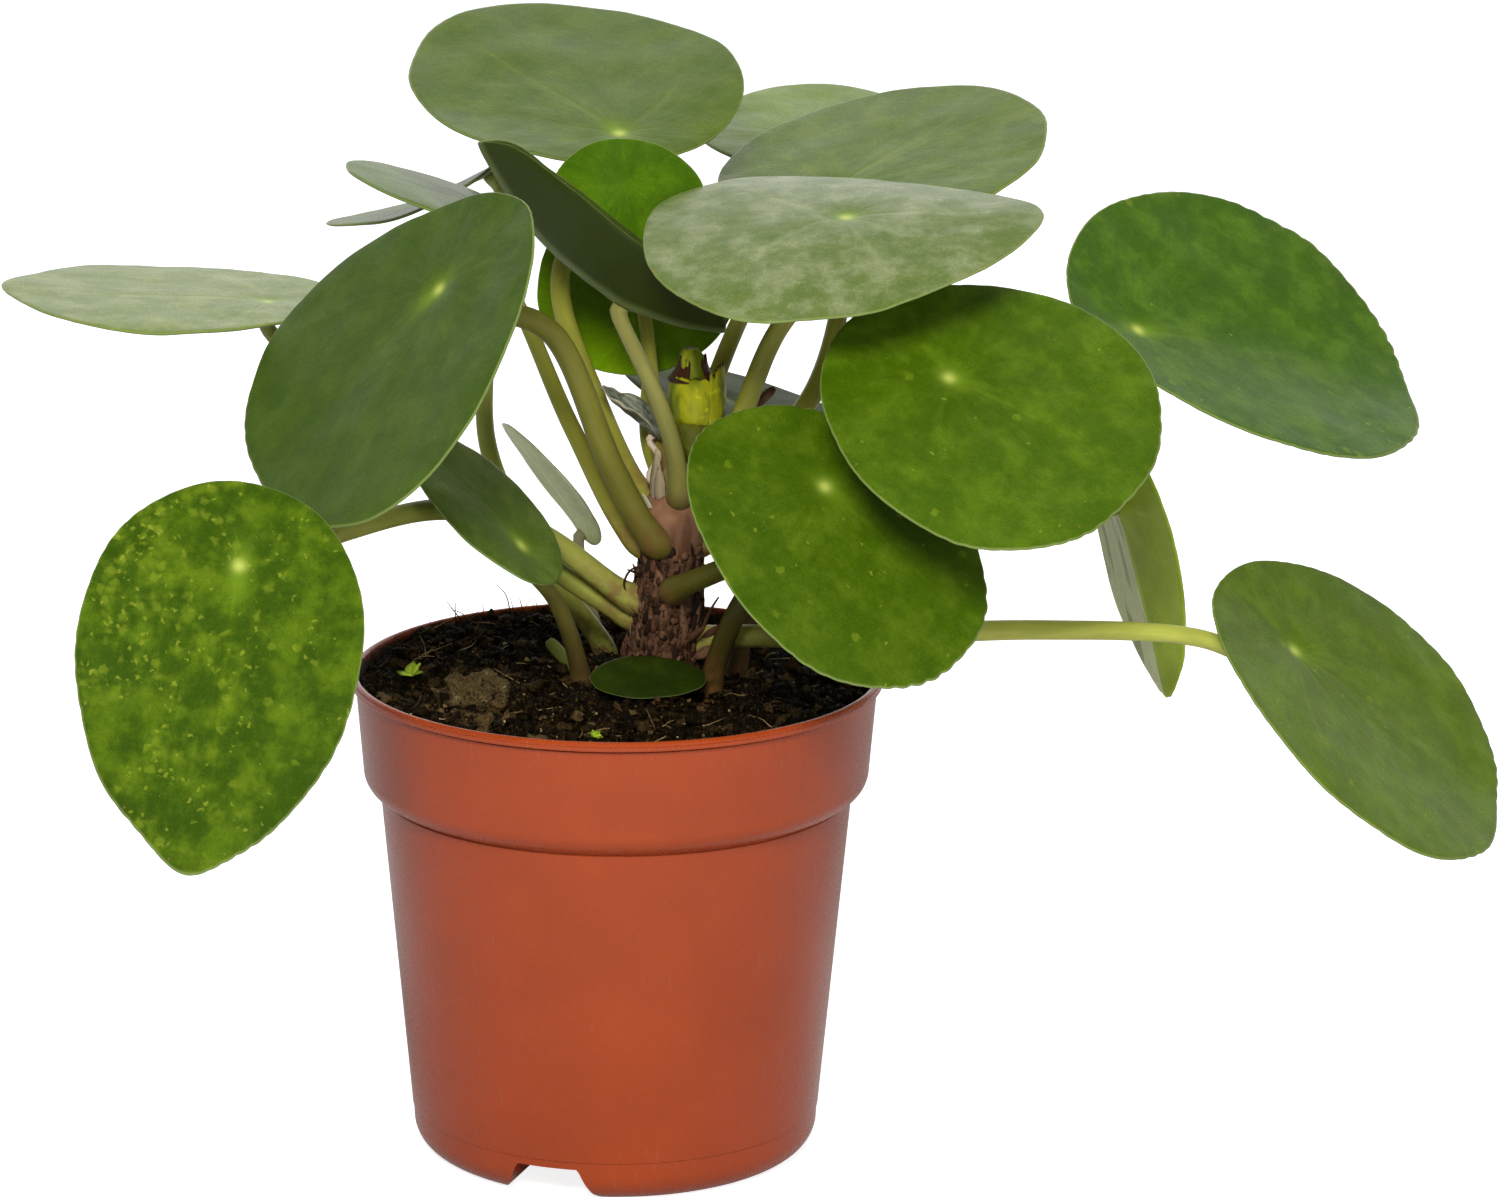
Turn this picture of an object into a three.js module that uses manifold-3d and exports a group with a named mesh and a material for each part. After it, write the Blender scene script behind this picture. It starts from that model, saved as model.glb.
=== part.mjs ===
// Potted pilea plant: round leaves held from below by long stalks, on a short scaly trunk
// with a bud, in a thin-walled round nursery pot that is full of soil.
// Millimetres, +Z up. The origin is the centre of the pot's underside, and the front is -Y.
import * as THREE from 'three';
import { mergeVertices } from 'three/addons/utils/BufferGeometryUtils.js';
import Module from 'manifold-3d';

const wasm = await Module();
wasm.setup();

// Clearance between pieces that touch
const GAP = 0.3;

// Pot, a 12 cm nursery pot
const POT_HEIGHT = 111;
const RIM_RADIUS = 60;
const RIM_BEAD = 2.2;
const COLLAR_BOTTOM = 83.8;
const COLLAR_TOP_RADIUS = 59;
const COLLAR_LOW_RADIUS = 57;
const COLLAR_ROUND = 5;
const BODY_TOP_RADIUS = 53.2;
const BODY_LOW_RADIUS = 45.9;
const FOOT_ROUND = 6.6;
const WALL = 1.3;
const POT_SIDES = 48;

// Drainage notches in the pot's foot, each with a round hole at its inner end
const NOTCH_COUNT = 3;
const NOTCH_FIRST = -109.5;
const NOTCH_WIDTH = 19;
const NOTCH_SLANT = 2.2;
const NOTCH_HEIGHT = 8;
const NOTCH_INNER = 16;
const DRAIN_RADIUS = 3;
const DRAIN_INSET = 2;

// Soil, with low lumps and a heap at the back left
const SOIL_LEVEL = 107;
const SOIL_HEAP = 1.6;
const SOIL_RINGS = 6;
const SOIL_EDGE = 0.5;
const STEM_DEPTH = 9;
const LUMP_HEIGHT = 0.5;
const LUMP_LENGTH = 30;

// Trunk: centre, height and radius at each level from its foot to the bud
const TRUNK = [
  { x: 10, y: 3, z: 96, r: 8.6 },
  { x: 10, y: 3, z: 108, r: 9.4 },
  { x: 10.5, y: 2.5, z: 114, r: 9 },
  { x: 11, y: 2, z: 121, r: 8.2 },
  { x: 11.5, y: 1.5, z: 129, r: 7.8 },
  { x: 12, y: 1.5, z: 136, r: 7 },
  { x: 12.5, y: 1.5, z: 141, r: 7.4 },
  { x: 13, y: 1.5, z: 147, r: 6.8 },
  { x: 14, y: 2, z: 153, r: 5 },
  { x: 15, y: 2.5, z: 159, r: 3.6 },
];
const TRUNK_SIDES = 14;
const BARK_DEPTH = 0.5;
const BARK_RIDGES = 5;

// Bud on the trunk's end
const BUD = [
  { x: 15.4, y: 2.6, z: 159.4, r: 3 },
  { x: 16.4, y: 2.8, z: 163, r: 5.6 },
  { x: 17.2, y: 3, z: 169, r: 6.6 },
  { x: 17.6, y: 3, z: 175, r: 5.8 },
  { x: 17.6, y: 3, z: 177.4, r: 3.6 },
  { x: 17.4, y: 3, z: 182, r: 2.6 },
  { x: 17.2, y: 3, z: 185, r: 1.2 },
];
const BUD_SIDES = 10;

// Blades
const BLADE_MIDDLE = 1.2;
const BLADE_RIM = 0.8;
const BLADE_SEGMENTS = 24;
const BLADE_RINGS = [0.3, 0.65, 1];
const SLOPE_STEP = 0.5;
const DIMPLE_DEPTH = 0.7;
const DIMPLE_RADIUS = 4;
const FOLD_SOFTNESS = 0.2;
const SCALLOP = 0.012;
const SCALLOPS = 9;
const TIP_SPREAD = 0.3;
const EGG = 0.06;

// Stalks
const STALK_SIDES = 8;
const STALK_STEP = 9;
const STALK_FEWEST = 6;
const STALK_RISE = 25;
const STALK_OUT = 2;
const NECK = 5;

const COLOURS = {
  pot: 0xa4502f,
  soil: 0x2b1d14,
  trunk: 0x5a3524,
  bud: 0xa3a63a,
  blade: 0x4f7d34,
  deep: 0x3f7423,
  bright: 0x63982a,
  pale: 0x8fa58a,
  stalk: 0x8f9444,
  dry: 0x4a4638,
  wither: 0x9a6a58,
};

// Each leaf. at is where the stalk meets the blade. face is the compass direction and the
// height, in degrees, of the way the upper side looks. turn is how far the tip is turned
// from straight downhill. back is the share of the length behind the stalk, and aside is how
// far the outline sits to one side of it. The rest bends the blade, in millimetres at its edge:
// bow drops tip and base, cup and fold lift the sides, twist lifts one corner and wave ripples
// the rim. egg widens the base and point draws out the tip.
// from is the stalk's root: a height and compass direction on the trunk, or a place in the soil.
const LEAVES = [
  {
    name: 'crown_back', colour: 'blade', at: [0.2, 42, 225.5], face: [-93.5, 73.5], turn: 221,
    length: 85, width: 72, back: 0.176, aside: -7.2, egg: 0.08, cup: 1, wave: 1, waves: 3,
    from: { z: 146, side: 150 }, via: [[-5, 15, 170], [-13, 23, 196]], stalk: [5.6, 3.6],
  },
  {
    name: 'far_back', colour: 'pale', at: [44.5, 101, 213], face: [-90, 80], turn: 170,
    length: 60, width: 53, back: 0.35, bow: 1, wave: 1, waves: 2,
    from: { z: 152, side: 80 }, via: [[24, 16, 180], [36, 58, 196]], stalk: [4.4, 3],
  },
  {
    name: 'crown_right', colour: 'blade', at: [49.5, 55, 210.5], face: [-130, 74], turn: 172,
    length: 78, width: 76, back: 0.28, cup: 1, wave: 1, waves: 2,
    from: { z: 148, side: 30 }, via: [[42, 12, 169], [51, 34, 192]], stalk: [5.4, 3.6],
  },
  {
    name: 'centre', colour: 'blade', at: [50, -11, 217.2], face: [-106, 79], turn: 103,
    length: 88, width: 75.5, back: 0.51, aside: -2.6, bow: 1, cup: -6, egg: 0.33, wave: 1, waves: 3,
    from: { z: 150, side: -20 }, via: [[27, -3, 169], [35, -6, 190]], stalk: [5.4, 3.6],
  },
  {
    name: 'front_right', colour: 'deep', at: [72, -34, 186.4], face: [-77, 55], turn: 52,
    length: 75, width: 78, back: 0.35, aside: -3.5, bow: 1, cup: 1, egg: -0.12, wave: 1, waves: 2,
    from: { soil: [20.8, -5] }, via: [[26.6, -10, 127], [46, -15, 156]], stalk: [5.2, 3.8],
  },
  {
    name: 'front_low', colour: 'deep', at: [45, -42, 164], face: [-68, 41], turn: 35,
    length: 75, width: 59, back: 0.366, aside: -9, bow: 1, cup: 1, egg: -0.11, wave: 1, waves: 3,
    from: { z: 127.5, side: -78 }, via: [[22, -16, 138], [37, -32, 148]], stalk: [5.4, 3.8],
  },
  {
    name: 'right_upper', colour: 'deep', at: [116.5, 12, 187], face: [-40, 54], turn: 64,
    length: 93, width: 83, back: 0.19, aside: 3, fold: 9, egg: -0.09, wave: 1, waves: 2,
    from: { z: 137, side: 5 }, via: [[40, 4, 152], [80, 8, 172]], stalk: [5.4, 3.6],
  },
  {
    name: 'right_low', colour: 'deep', at: [151, -15, 120], face: [-34, 45], turn: 31,
    length: 85, width: 78, back: 0.28, aside: -3.5, bow: 1, fold: 4, egg: -0.12, wave: 1, waves: 2,
    from: { z: 113.5, side: -15 }, via: [[50, -6, 120.5], [95, -9, 123], [130, -12, 122]], stalk: [5.4, 3.8],
  },
  {
    name: 'right_hanging', colour: 'pale', at: [115, 30, 142], face: [24, 11], turn: -14,
    length: 62, width: 39, back: 0.3, bow: 1, fold: 3, wave: 1, waves: 2, point: 2,
    from: { soil: [27, 9] }, via: [[34, 12, 128], [80, 20, 148]], stalk: [4.4, 3],
  },
  {
    name: 'crown_small', colour: 'bright', at: [1.5, 21.5, 218], face: [-90, 8], turn: -11,
    length: 33.5, width: 35, back: 0.305, aside: 1.7, egg: 0.13, cup: 1, wave: 0.5, waves: 2,
    from: { z: 155, side: 128 }, via: [[6.5, 21.5, 184]], stalk: [3.6, 2.6],
  },
  {
    name: 'folded', colour: 'deep', at: [1.2, -1, 195.7], face: [15, 61], turn: 166,
    length: 68, width: 27, back: 0.34, bow: -9, fold: 18, egg: 0, wave: 0.5, waves: 2, neck: 1.2,
    from: { z: 150, side: -88 }, via: [[12.6, -4.8, 163], [7.6, -4.5, 177.5]], stalk: [4.6, 3.4],
  },
  {
    name: 'back_centre', colour: 'bright', at: [7.5, 34, 182.5], face: [-95, 35], turn: 200,
    length: 46, width: 46, back: 0.25, bow: 1, cup: 1, wave: 0.5, waves: 2,
    from: { z: 146, side: 104 }, via: [[6.8, 19, 160]], stalk: [4, 2.8],
  },
  {
    name: 'left_large', colour: 'deep', at: [-38.5, -40, 207], face: [-146, 38], turn: -19,
    length: 84.5, width: 81, back: 0.316, aside: 4.8, fold: 2, egg: -0.28, wave: 1, waves: 2,
    from: { z: 139, side: -122 }, via: [[-1, -10.5, 160], [-14.5, -16, 192]], stalk: [6.2, 4.6],
  },
  {
    name: 'left_low', colour: 'deep', at: [-80, -78, 155.2], face: [-89.5, 34.5], turn: -6,
    length: 84, width: 60, back: 0.23, aside: -1.8, egg: 0.11, bow: 1, cup: 1, wave: 1, waves: 3, point: 4,
    from: { z: 124, side: 195 }, via: [[-17, -3, 143], [-37, -20, 153], [-59, -48, 155]], stalk: [5.6, 3.8],
  },
  {
    name: 'left_far', colour: 'blade', at: [-78.5, 20, 191], face: [13, 88], turn: 170,
    length: 72.5, width: 72, back: 0.217, aside: -3.5, egg: -0.1, wave: 1, waves: 2, point: 3,
    from: { z: 119, side: 175 }, via: [[-15, 4, 134], [-50, 12, 165]], stalk: [5, 3.4],
  },
  {
    name: 'left_back_upper', colour: 'pale', at: [-30.5, 44, 207.3], face: [2, 69], turn: 180,
    length: 44, width: 40, back: 0.25, bow: 1, wave: 0.5, waves: 2,
    from: { z: 137, side: 185 }, via: [[-10, 10, 164], [-23, 34, 188]], stalk: [4.6, 3],
  },
  {
    name: 'left_back', colour: 'pale', at: [-30.5, 86, 208], face: [165, 57], turn: 10,
    length: 46, width: 42, back: 0.15, bow: -3, wave: 0.5, waves: 2,
    from: { soil: [-2.5, 28] }, via: [[-17, 34, 127], [-30, 48, 152]], stalk: [5, 3.2],
  },
  {
    name: 'left_small', colour: 'deep', at: [-21, -28, 147], face: [-25, 44], turn: 188,
    length: 46, width: 34, back: 0.24, bow: 1, fold: 1, wave: 0.5, waves: 2, neck: 1.5,
    from: { soil: [-8, 3] }, via: [[-14, -17, 132]], stalk: [4.6, 3],
  },
  {
    name: 'left_sliver', colour: 'pale', at: [-7.2, 40, 133], face: [27, 32], turn: 180,
    length: 38, width: 22, back: 0.1, bow: 1, fold: 1, wave: 0.3, waves: 2, neck: 1,
    from: { soil: [-4.5, 39] }, via: [], stalk: [3, 2.2],
  },
  {
    name: 'back_right', colour: 'pale', at: [25, 54, 160.8], face: [-8, 73], turn: 30,
    length: 56, width: 50, back: 0.45, wave: 0.5, waves: 2,
    from: { z: 132, side: 70 }, via: [[20, 32, 142]], stalk: [4, 3],
  },
  {
    name: 'soil_front', colour: 'deep', at: [7, -13, 113], face: [-90, 55], turn: 90,
    length: 26, width: 12, back: 0.5, bow: 1, wave: 0.3, waves: 2,
    from: { soil: [7, -9.5] }, via: [], stalk: [2.6, 2],
  },
];

// The dried leaf that hangs in front of the bud, fused with its thin stalk
const DRIED = {
  name: 'dried', at: [8.5, 6, 164.6], face: [-15, 54], turn: 185,
  length: 18, width: 9, back: 0.1, fold: 3, wave: 0.5, waves: 3,
  from: { z: 152, side: 185 }, via: [[9.2, 3, 159.5]], stalk: [1.6, 1.4],
};

// What is left of two leaves that came off
const STUBS = [
  {
    name: 'stub_left', colour: 'stalk',
    from: { soil: [-9.5, 10] }, via: [[-15.6, 12, 114.6]], stalk: [4, 2.6],
  },
  {
    name: 'stub_right', colour: 'wither',
    from: { z: 156, side: 0 }, via: [[24, 3.5, 161], [29, 5, 169], [35, 5, 175]], stalk: [2.4, 2],
  },
];

// A closed mesh as a solid, without the triangles that merging its poles has flattened
function toSolid(geometry) {
  const plain = new THREE.BufferGeometry();
  plain.setAttribute('position', geometry.getAttribute('position'));
  plain.setIndex(geometry.getIndex());
  const merged = mergeVertices(plain, 1e-4);
  const index = merged.getIndex().array;
  const kept = [];
  for (let i = 0; i < index.length; i += 3) {
    const [a, b, c] = [index[i], index[i + 1], index[i + 2]];
    if (a !== b && b !== c && c !== a) kept.push(a, b, c);
  }
  return new wasm.Manifold(new wasm.Mesh({
    numProp: 3,
    vertProperties: new Float32Array(merged.getAttribute('position').array),
    triVerts: new Uint32Array(kept),
  }));
}

function fromSolid(solid) {
  const mesh = solid.getMesh();
  const geometry = new THREE.BufferGeometry();
  geometry.setAttribute('position', new THREE.BufferAttribute(mesh.vertProperties, 3));
  geometry.setIndex(new THREE.BufferAttribute(mesh.triVerts, 1));
  return geometry;
}

function fromPoints(points, index) {
  const geometry = new THREE.BufferGeometry();
  const numbers = points.flatMap((p) => p.toArray());
  geometry.setAttribute('position', new THREE.Float32BufferAttribute(numbers, 3));
  geometry.setIndex(index);
  return geometry;
}

// A closed mesh through rings of points that turn the same way, with a flat cap at each end
function skin(rings) {
  const sides = rings[0].length;
  const points = rings.flat();
  const index = [];
  for (let k = 0; k + 1 < rings.length; k += 1) {
    for (let i = 0; i < sides; i += 1) {
      const j = (i + 1) % sides;
      const [a, b, c, d] = [k * sides + i, k * sides + j, (k + 1) * sides + j, (k + 1) * sides + i];
      index.push(a, b, c, a, c, d);
    }
  }
  for (const [k, flip] of [[0, true], [rings.length - 1, false]]) {
    const middle = new THREE.Vector3();
    rings[k].forEach((p) => middle.add(p));
    points.push(middle.divideScalar(sides));
    for (let i = 0; i < sides; i += 1) {
      const [a, b] = [k * sides + i, k * sides + ((i + 1) % sides)];
      index.push(points.length - 1, flip ? b : a, flip ? a : b);
    }
  }
  return fromPoints(points, index);
}

function lathe(profile, sides) {
  const points = profile.map(([r, z]) => new THREE.Vector2(r, z));
  return toSolid(new THREE.LatheGeometry(points, sides).rotateX(Math.PI / 2));
}

// Points of a quarter circle, from one angle to another in degrees
function arc(centreR, centreZ, radius, from, to, steps) {
  return Array.from({ length: steps + 1 }, (_, i) => {
    const a = THREE.MathUtils.degToRad(from + ((to - from) * i) / steps);
    return [centreR + radius * Math.cos(a), centreZ + radius * Math.sin(a)];
  });
}

// The pot's inner face from the floor's middle to just under the rim, moved inwards by inset
function innerProfile(inset) {
  const wall = WALL + inset;
  return [
    [0, wall],
    [BODY_LOW_RADIUS - FOOT_ROUND, wall],
    [BODY_LOW_RADIUS - wall, FOOT_ROUND],
    [BODY_TOP_RADIUS - wall, COLLAR_BOTTOM + 1],
    [COLLAR_LOW_RADIUS - wall, COLLAR_BOTTOM + COLLAR_ROUND + 0.5],
    [COLLAR_TOP_RADIUS - wall, POT_HEIGHT - RIM_BEAD],
  ];
}

function potOutline() {
  const bead = RIM_BEAD / 2;
  return [
    [0, 0],
    ...arc(BODY_LOW_RADIUS - FOOT_ROUND, FOOT_ROUND, FOOT_ROUND, -90, 0, 3),
    [BODY_TOP_RADIUS, COLLAR_BOTTOM],
    ...arc(COLLAR_LOW_RADIUS - COLLAR_ROUND, COLLAR_BOTTOM + COLLAR_ROUND, COLLAR_ROUND, -60, 0, 2),
    [COLLAR_TOP_RADIUS - 0.2, POT_HEIGHT - RIM_BEAD - 0.2],
    ...arc(RIM_RADIUS - bead, POT_HEIGHT - bead, bead, -60, 180, 4),
    ...innerProfile(0).reverse(),
  ];
}

// A block that runs outwards from the notch's inner end, wider at its foot than at its top
function notchBlock(grow, outer) {
  const half = NOTCH_WIDTH / 2 + grow;
  const shape = new THREE.Shape([
    new THREE.Vector2(-half, -1),
    new THREE.Vector2(half, -1),
    new THREE.Vector2(half - NOTCH_SLANT, NOTCH_HEIGHT + grow),
    new THREE.Vector2(-half + NOTCH_SLANT, NOTCH_HEIGHT + grow),
  ]);
  const depth = outer - NOTCH_INNER + grow;
  const block = new THREE.ExtrudeGeometry(shape, { depth, bevelEnabled: false });
  return block.rotateX(Math.PI / 2).rotateZ(Math.PI / 2).translate(NOTCH_INNER - grow, 0, 0);
}

function atNotches(makeGeometry) {
  return Array.from({ length: NOTCH_COUNT }, (_, i) => {
    const angle = THREE.MathUtils.degToRad(NOTCH_FIRST + (360 / NOTCH_COUNT) * i);
    return toSolid(makeGeometry().rotateZ(angle));
  });
}

function drainHole() {
  const hole = new THREE.CylinderGeometry(DRAIN_RADIUS, DRAIN_RADIUS, 2 * NOTCH_HEIGHT, 12);
  return hole.rotateX(Math.PI / 2).translate(NOTCH_INNER + DRAIN_RADIUS + DRAIN_INSET, 0, NOTCH_HEIGHT);
}

function makePot() {
  let pot = lathe(potOutline(), POT_SIDES);
  const within = lathe([...innerProfile(-WALL / 2), [0, POT_HEIGHT - RIM_BEAD]], POT_SIDES);
  for (const cover of atNotches(() => notchBlock(WALL, RIM_RADIUS))) {
    pot = pot.add(cover.intersect(within));
  }
  for (const notch of atNotches(() => notchBlock(0, RIM_RADIUS))) {
    pot = pot.subtract(notch);
  }
  for (const hole of atNotches(drainHole)) {
    pot = pot.subtract(hole);
  }
  return pot;
}

function soilHeight(x, y) {
  const [u, v] = [(2 * Math.PI * x) / LUMP_LENGTH, (2 * Math.PI * y) / LUMP_LENGTH];
  const lumps = Math.sin(u + 1) * Math.cos(0.8 * v) + 0.6 * Math.sin(1.7 * u - 1.4 * v);
  const heap = Math.max(0, (y - x) / (2 * RIM_RADIUS));
  return SOIL_LEVEL + LUMP_HEIGHT * lumps + SOIL_HEAP * heap;
}

function makeSoil(stems) {
  const side = innerProfile(GAP).slice(1);
  const [topRadius] = side.pop();
  const circle = (radius, height) => Array.from({ length: POT_SIDES }, (_, i) => {
    const a = (i / POT_SIDES) * 2 * Math.PI;
    const [x, y] = [radius * Math.sin(a), -radius * Math.cos(a)];
    return new THREE.Vector3(x, y, height ?? soilHeight(x, y));
  });
  const rings = side.map(([r, z]) => circle(r, z));
  for (let k = SOIL_RINGS; k > 0; k -= 1) {
    rings.push(circle((topRadius - SOIL_EDGE) * (k / SOIL_RINGS)));
  }
  let soil = toSolid(skin(rings));
  for (const cover of atNotches(() => notchBlock(WALL + GAP, RIM_RADIUS))) {
    soil = soil.subtract(cover);
  }
  for (const stem of stems) {
    soil = soil.subtract(stem);
  }
  return soil;
}

// Rings of a round body through levels, each with a centre, a height and a radius
function levelRings(levels, sides, grow, rough) {
  return levels.map(({ x, y, z, r }, k) => Array.from({ length: sides }, (_, i) => {
    const a = (i / sides) * 2 * Math.PI;
    const radius = r + grow + rough * Math.sin(BARK_RIDGES * a + 2 * k) * Math.cos(3 * a - k);
    return new THREE.Vector3(x + radius * Math.cos(a), y + radius * Math.sin(a), z);
  }));
}

function trunkSolid(grow) {
  const levels = TRUNK.map((level, k) => ({
    ...level,
    z: level.z + (k === 0 ? -grow : 0) + (k === TRUNK.length - 1 ? grow : 0),
  }));
  return toSolid(skin(levelRings(levels, TRUNK_SIDES, grow, BARK_DEPTH)));
}

// The trunk's centre and radius at a height
function trunkAt(z) {
  const k = TRUNK.findIndex((level) => level.z >= z);
  const [low, high] = [TRUNK[k - 1], TRUNK[k]];
  const t = (z - low.z) / (high.z - low.z);
  const foot = new THREE.Vector3(low.x, low.y, low.z);
  return {
    centre: foot.lerp(new THREE.Vector3(high.x, high.y, high.z), t),
    radius: low.r + (high.r - low.r) * t,
  };
}

// Unit vector with a compass direction, counted from +X towards +Y, and a height, in degrees
function heading(compass, height) {
  const [a, h] = [compass, height].map(THREE.MathUtils.degToRad);
  return new THREE.Vector3(Math.cos(h) * Math.cos(a), Math.cos(h) * Math.sin(a), Math.sin(h));
}

// The blade's own directions: along the midrib to the tip, across it, and out of its upper side
function bladeAxes(leaf) {
  const [compass, height] = leaf.face;
  const up = heading(compass, height);
  const downhill = heading(compass, height - 90);
  const along = downhill.applyAxisAngle(up, THREE.MathUtils.degToRad(leaf.turn));
  return { along, across: new THREE.Vector3().crossVectors(up, along), up };
}

// A point of the blade's outline, from the angle round its middle
function bladeEdge(leaf, angle) {
  const { length, width, back, aside = 0, egg = EGG, point = 0, name } = leaf;
  const ripple = 1 + SCALLOP * Math.cos(SCALLOPS * angle + name.length);
  const u = length * (Math.cos(angle) / 2 + 0.5 - back);
  const v = (width / 2) * Math.sin(angle) * (1 - egg * Math.cos(angle));
  const lean = Math.atan2(Math.sin(angle), Math.cos(angle)) / TIP_SPREAD;
  return [u * ripple + point * Math.exp(-lean * lean), v * ripple + aside];
}

// Height of the blade's middle surface over the plane through the stalk's end
function bladeRise(leaf, u, v, reach, angle) {
  const { length, width, bow = 0, cup = 0, fold = 0, twist = 0, wave = 0, waves = 2 } = leaf;
  const [a, b] = [(2 * u) / length, (2 * v) / width];
  const crease = Math.hypot(b, FOLD_SOFTNESS) - FOLD_SOFTNESS;
  const dimple = DIMPLE_DEPTH * Math.exp(-(u * u + v * v) / DIMPLE_RADIUS ** 2);
  const rim = wave * reach ** 3 * Math.cos(waves * angle);
  return rim - bow * a * a + cup * b * b + fold * crease + twist * a * b - dimple;
}

// One point of the blade's upper (side 1) or lower (side -1) face
function bladePoint(leaf, axes, reach, angle, side) {
  const [edgeU, edgeV] = bladeEdge(leaf, angle);
  const [u, v] = [edgeU * reach, edgeV * reach];
  const rise = (du, dv) => bladeRise(leaf, u + du, v + dv, reach, angle);
  const slopeU = (rise(SLOPE_STEP, 0) - rise(-SLOPE_STEP, 0)) / (2 * SLOPE_STEP);
  const slopeV = (rise(0, SLOPE_STEP) - rise(0, -SLOPE_STEP)) / (2 * SLOPE_STEP);
  const normal = axes.up.clone();
  normal.addScaledVector(axes.along, -slopeU).addScaledVector(axes.across, -slopeV).normalize();
  const half = (BLADE_MIDDLE + (BLADE_RIM - BLADE_MIDDLE) * reach) / 2;
  return new THREE.Vector3(...leaf.at)
    .addScaledVector(axes.along, u)
    .addScaledVector(axes.across, v)
    .addScaledVector(axes.up, rise(0, 0))
    .addScaledVector(normal, side * half);
}

function bladeGeometry(leaf) {
  const axes = bladeAxes(leaf);
  const points = [];
  for (const side of [1, -1]) {
    points.push(bladePoint(leaf, axes, 0, 0, side));
    for (const reach of BLADE_RINGS) {
      for (let i = 0; i < BLADE_SEGMENTS; i += 1) {
        points.push(bladePoint(leaf, axes, reach, (i / BLADE_SEGMENTS) * 2 * Math.PI, side));
      }
    }
  }
  const face = 1 + BLADE_RINGS.length * BLADE_SEGMENTS;
  const at = (ring, i) => 1 + ring * BLADE_SEGMENTS + (i % BLADE_SEGMENTS);
  const index = [];
  const both = (a, b, c) => index.push(a, b, c, face + a, face + c, face + b);
  for (let i = 0; i < BLADE_SEGMENTS; i += 1) {
    both(0, at(0, i), at(0, i + 1));
    for (let ring = 0; ring + 1 < BLADE_RINGS.length; ring += 1) {
      both(at(ring, i), at(ring + 1, i), at(ring + 1, i + 1));
      both(at(ring, i), at(ring + 1, i + 1), at(ring, i + 1));
    }
    const [a, b] = [at(BLADE_RINGS.length - 1, i), at(BLADE_RINGS.length - 1, i + 1)];
    index.push(a, face + a, face + b, a, face + b, b);
  }
  return fromPoints(points, index);
}

// A round tube through points, tapering from its root to its top
function tube(points, [root, top], grow) {
  const curve = new THREE.CatmullRomCurve3(points, false, 'centripetal');
  const steps = Math.max(STALK_FEWEST, Math.round(curve.getLength() / STALK_STEP));
  const frames = curve.computeFrenetFrames(steps, false);
  const rings = frames.tangents.map((_, k) => {
    const centre = curve.getPointAt(k / steps);
    const radius = (root + (top - root) * (k / steps)) / 2 + grow;
    return Array.from({ length: STALK_SIDES }, (_side, i) => {
      const a = (i / STALK_SIDES) * 2 * Math.PI;
      return centre.clone()
        .addScaledVector(frames.normals[k], radius * Math.cos(a))
        .addScaledVector(frames.binormals[k], radius * Math.sin(a));
    });
  });
  return toSolid(skin(rings));
}

// A stem's first points: its root inside the trunk or the soil, where it comes out, and its bends
function stemPoints({ from, via }) {
  const bends = via.map((p) => new THREE.Vector3(...p));
  if (from.soil) {
    const [x, y] = from.soil;
    const foot = new THREE.Vector3(x, y, SOIL_LEVEL - STEM_DEPTH);
    return [foot, new THREE.Vector3(x, y, SOIL_LEVEL), ...bends];
  }
  const { centre, radius } = trunkAt(from.z);
  const outside = centre.clone().addScaledVector(heading(from.side, STALK_RISE), radius + STALK_OUT);
  return [centre, outside, ...bends];
}

// A leaf's stalk, which ends short of the middle of the blade's thickness by the distance short
function stalkSolid(leaf, short, grow) {
  const { up } = bladeAxes(leaf);
  const end = new THREE.Vector3(...leaf.at).addScaledVector(up, -DIMPLE_DEPTH - short);
  const neck = end.clone().addScaledVector(up, -(leaf.neck ?? NECK));
  return tube([...stemPoints(leaf), neck, end], leaf.stalk, grow);
}

const plant = new THREE.Group();
plant.name = 'potted_pilea';

function addPiece(name, geometry, colour, roughness) {
  const material = new THREE.MeshStandardMaterial({ color: COLOURS[colour], roughness, metalness: 0 });
  const mesh = new THREE.Mesh(geometry, material);
  mesh.name = name;
  plant.add(mesh);
}

const clearance = trunkSolid(GAP);
const underBlade = BLADE_MIDDLE / 2 + GAP;
const soilStems = [
  ...LEAVES.filter((leaf) => leaf.from.soil).map((leaf) => stalkSolid(leaf, underBlade, GAP)),
  ...STUBS.filter((stub) => stub.from.soil).map((stub) => tube(stemPoints(stub), stub.stalk, GAP)),
];

addPiece('pot', fromSolid(makePot()), 'pot', 0.5);
addPiece('soil', fromSolid(makeSoil([clearance, ...soilStems])), 'soil', 0.95);
addPiece('trunk', fromSolid(trunkSolid(0)), 'trunk', 0.85);
addPiece('bud', skin(levelRings(BUD, BUD_SIDES, 0, 0)), 'bud', 0.5);
for (const leaf of LEAVES) {
  const stalk = stalkSolid(leaf, underBlade, 0).subtract(clearance);
  addPiece(`blade_${leaf.name}`, bladeGeometry(leaf), leaf.colour, 0.45);
  addPiece(`stalk_${leaf.name}`, fromSolid(stalk), 'stalk', 0.5);
}
for (const stub of STUBS) {
  const stem = tube(stemPoints(stub), stub.stalk, 0).subtract(clearance);
  addPiece(stub.name, fromSolid(stem), stub.colour, 0.7);
}
const driedStalk = stalkSolid(DRIED, 0, 0).subtract(clearance);
addPiece('leaf_dried', fromSolid(toSolid(bladeGeometry(DRIED)).add(driedStalk)), 'dry', 0.8);

export default plant;
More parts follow.
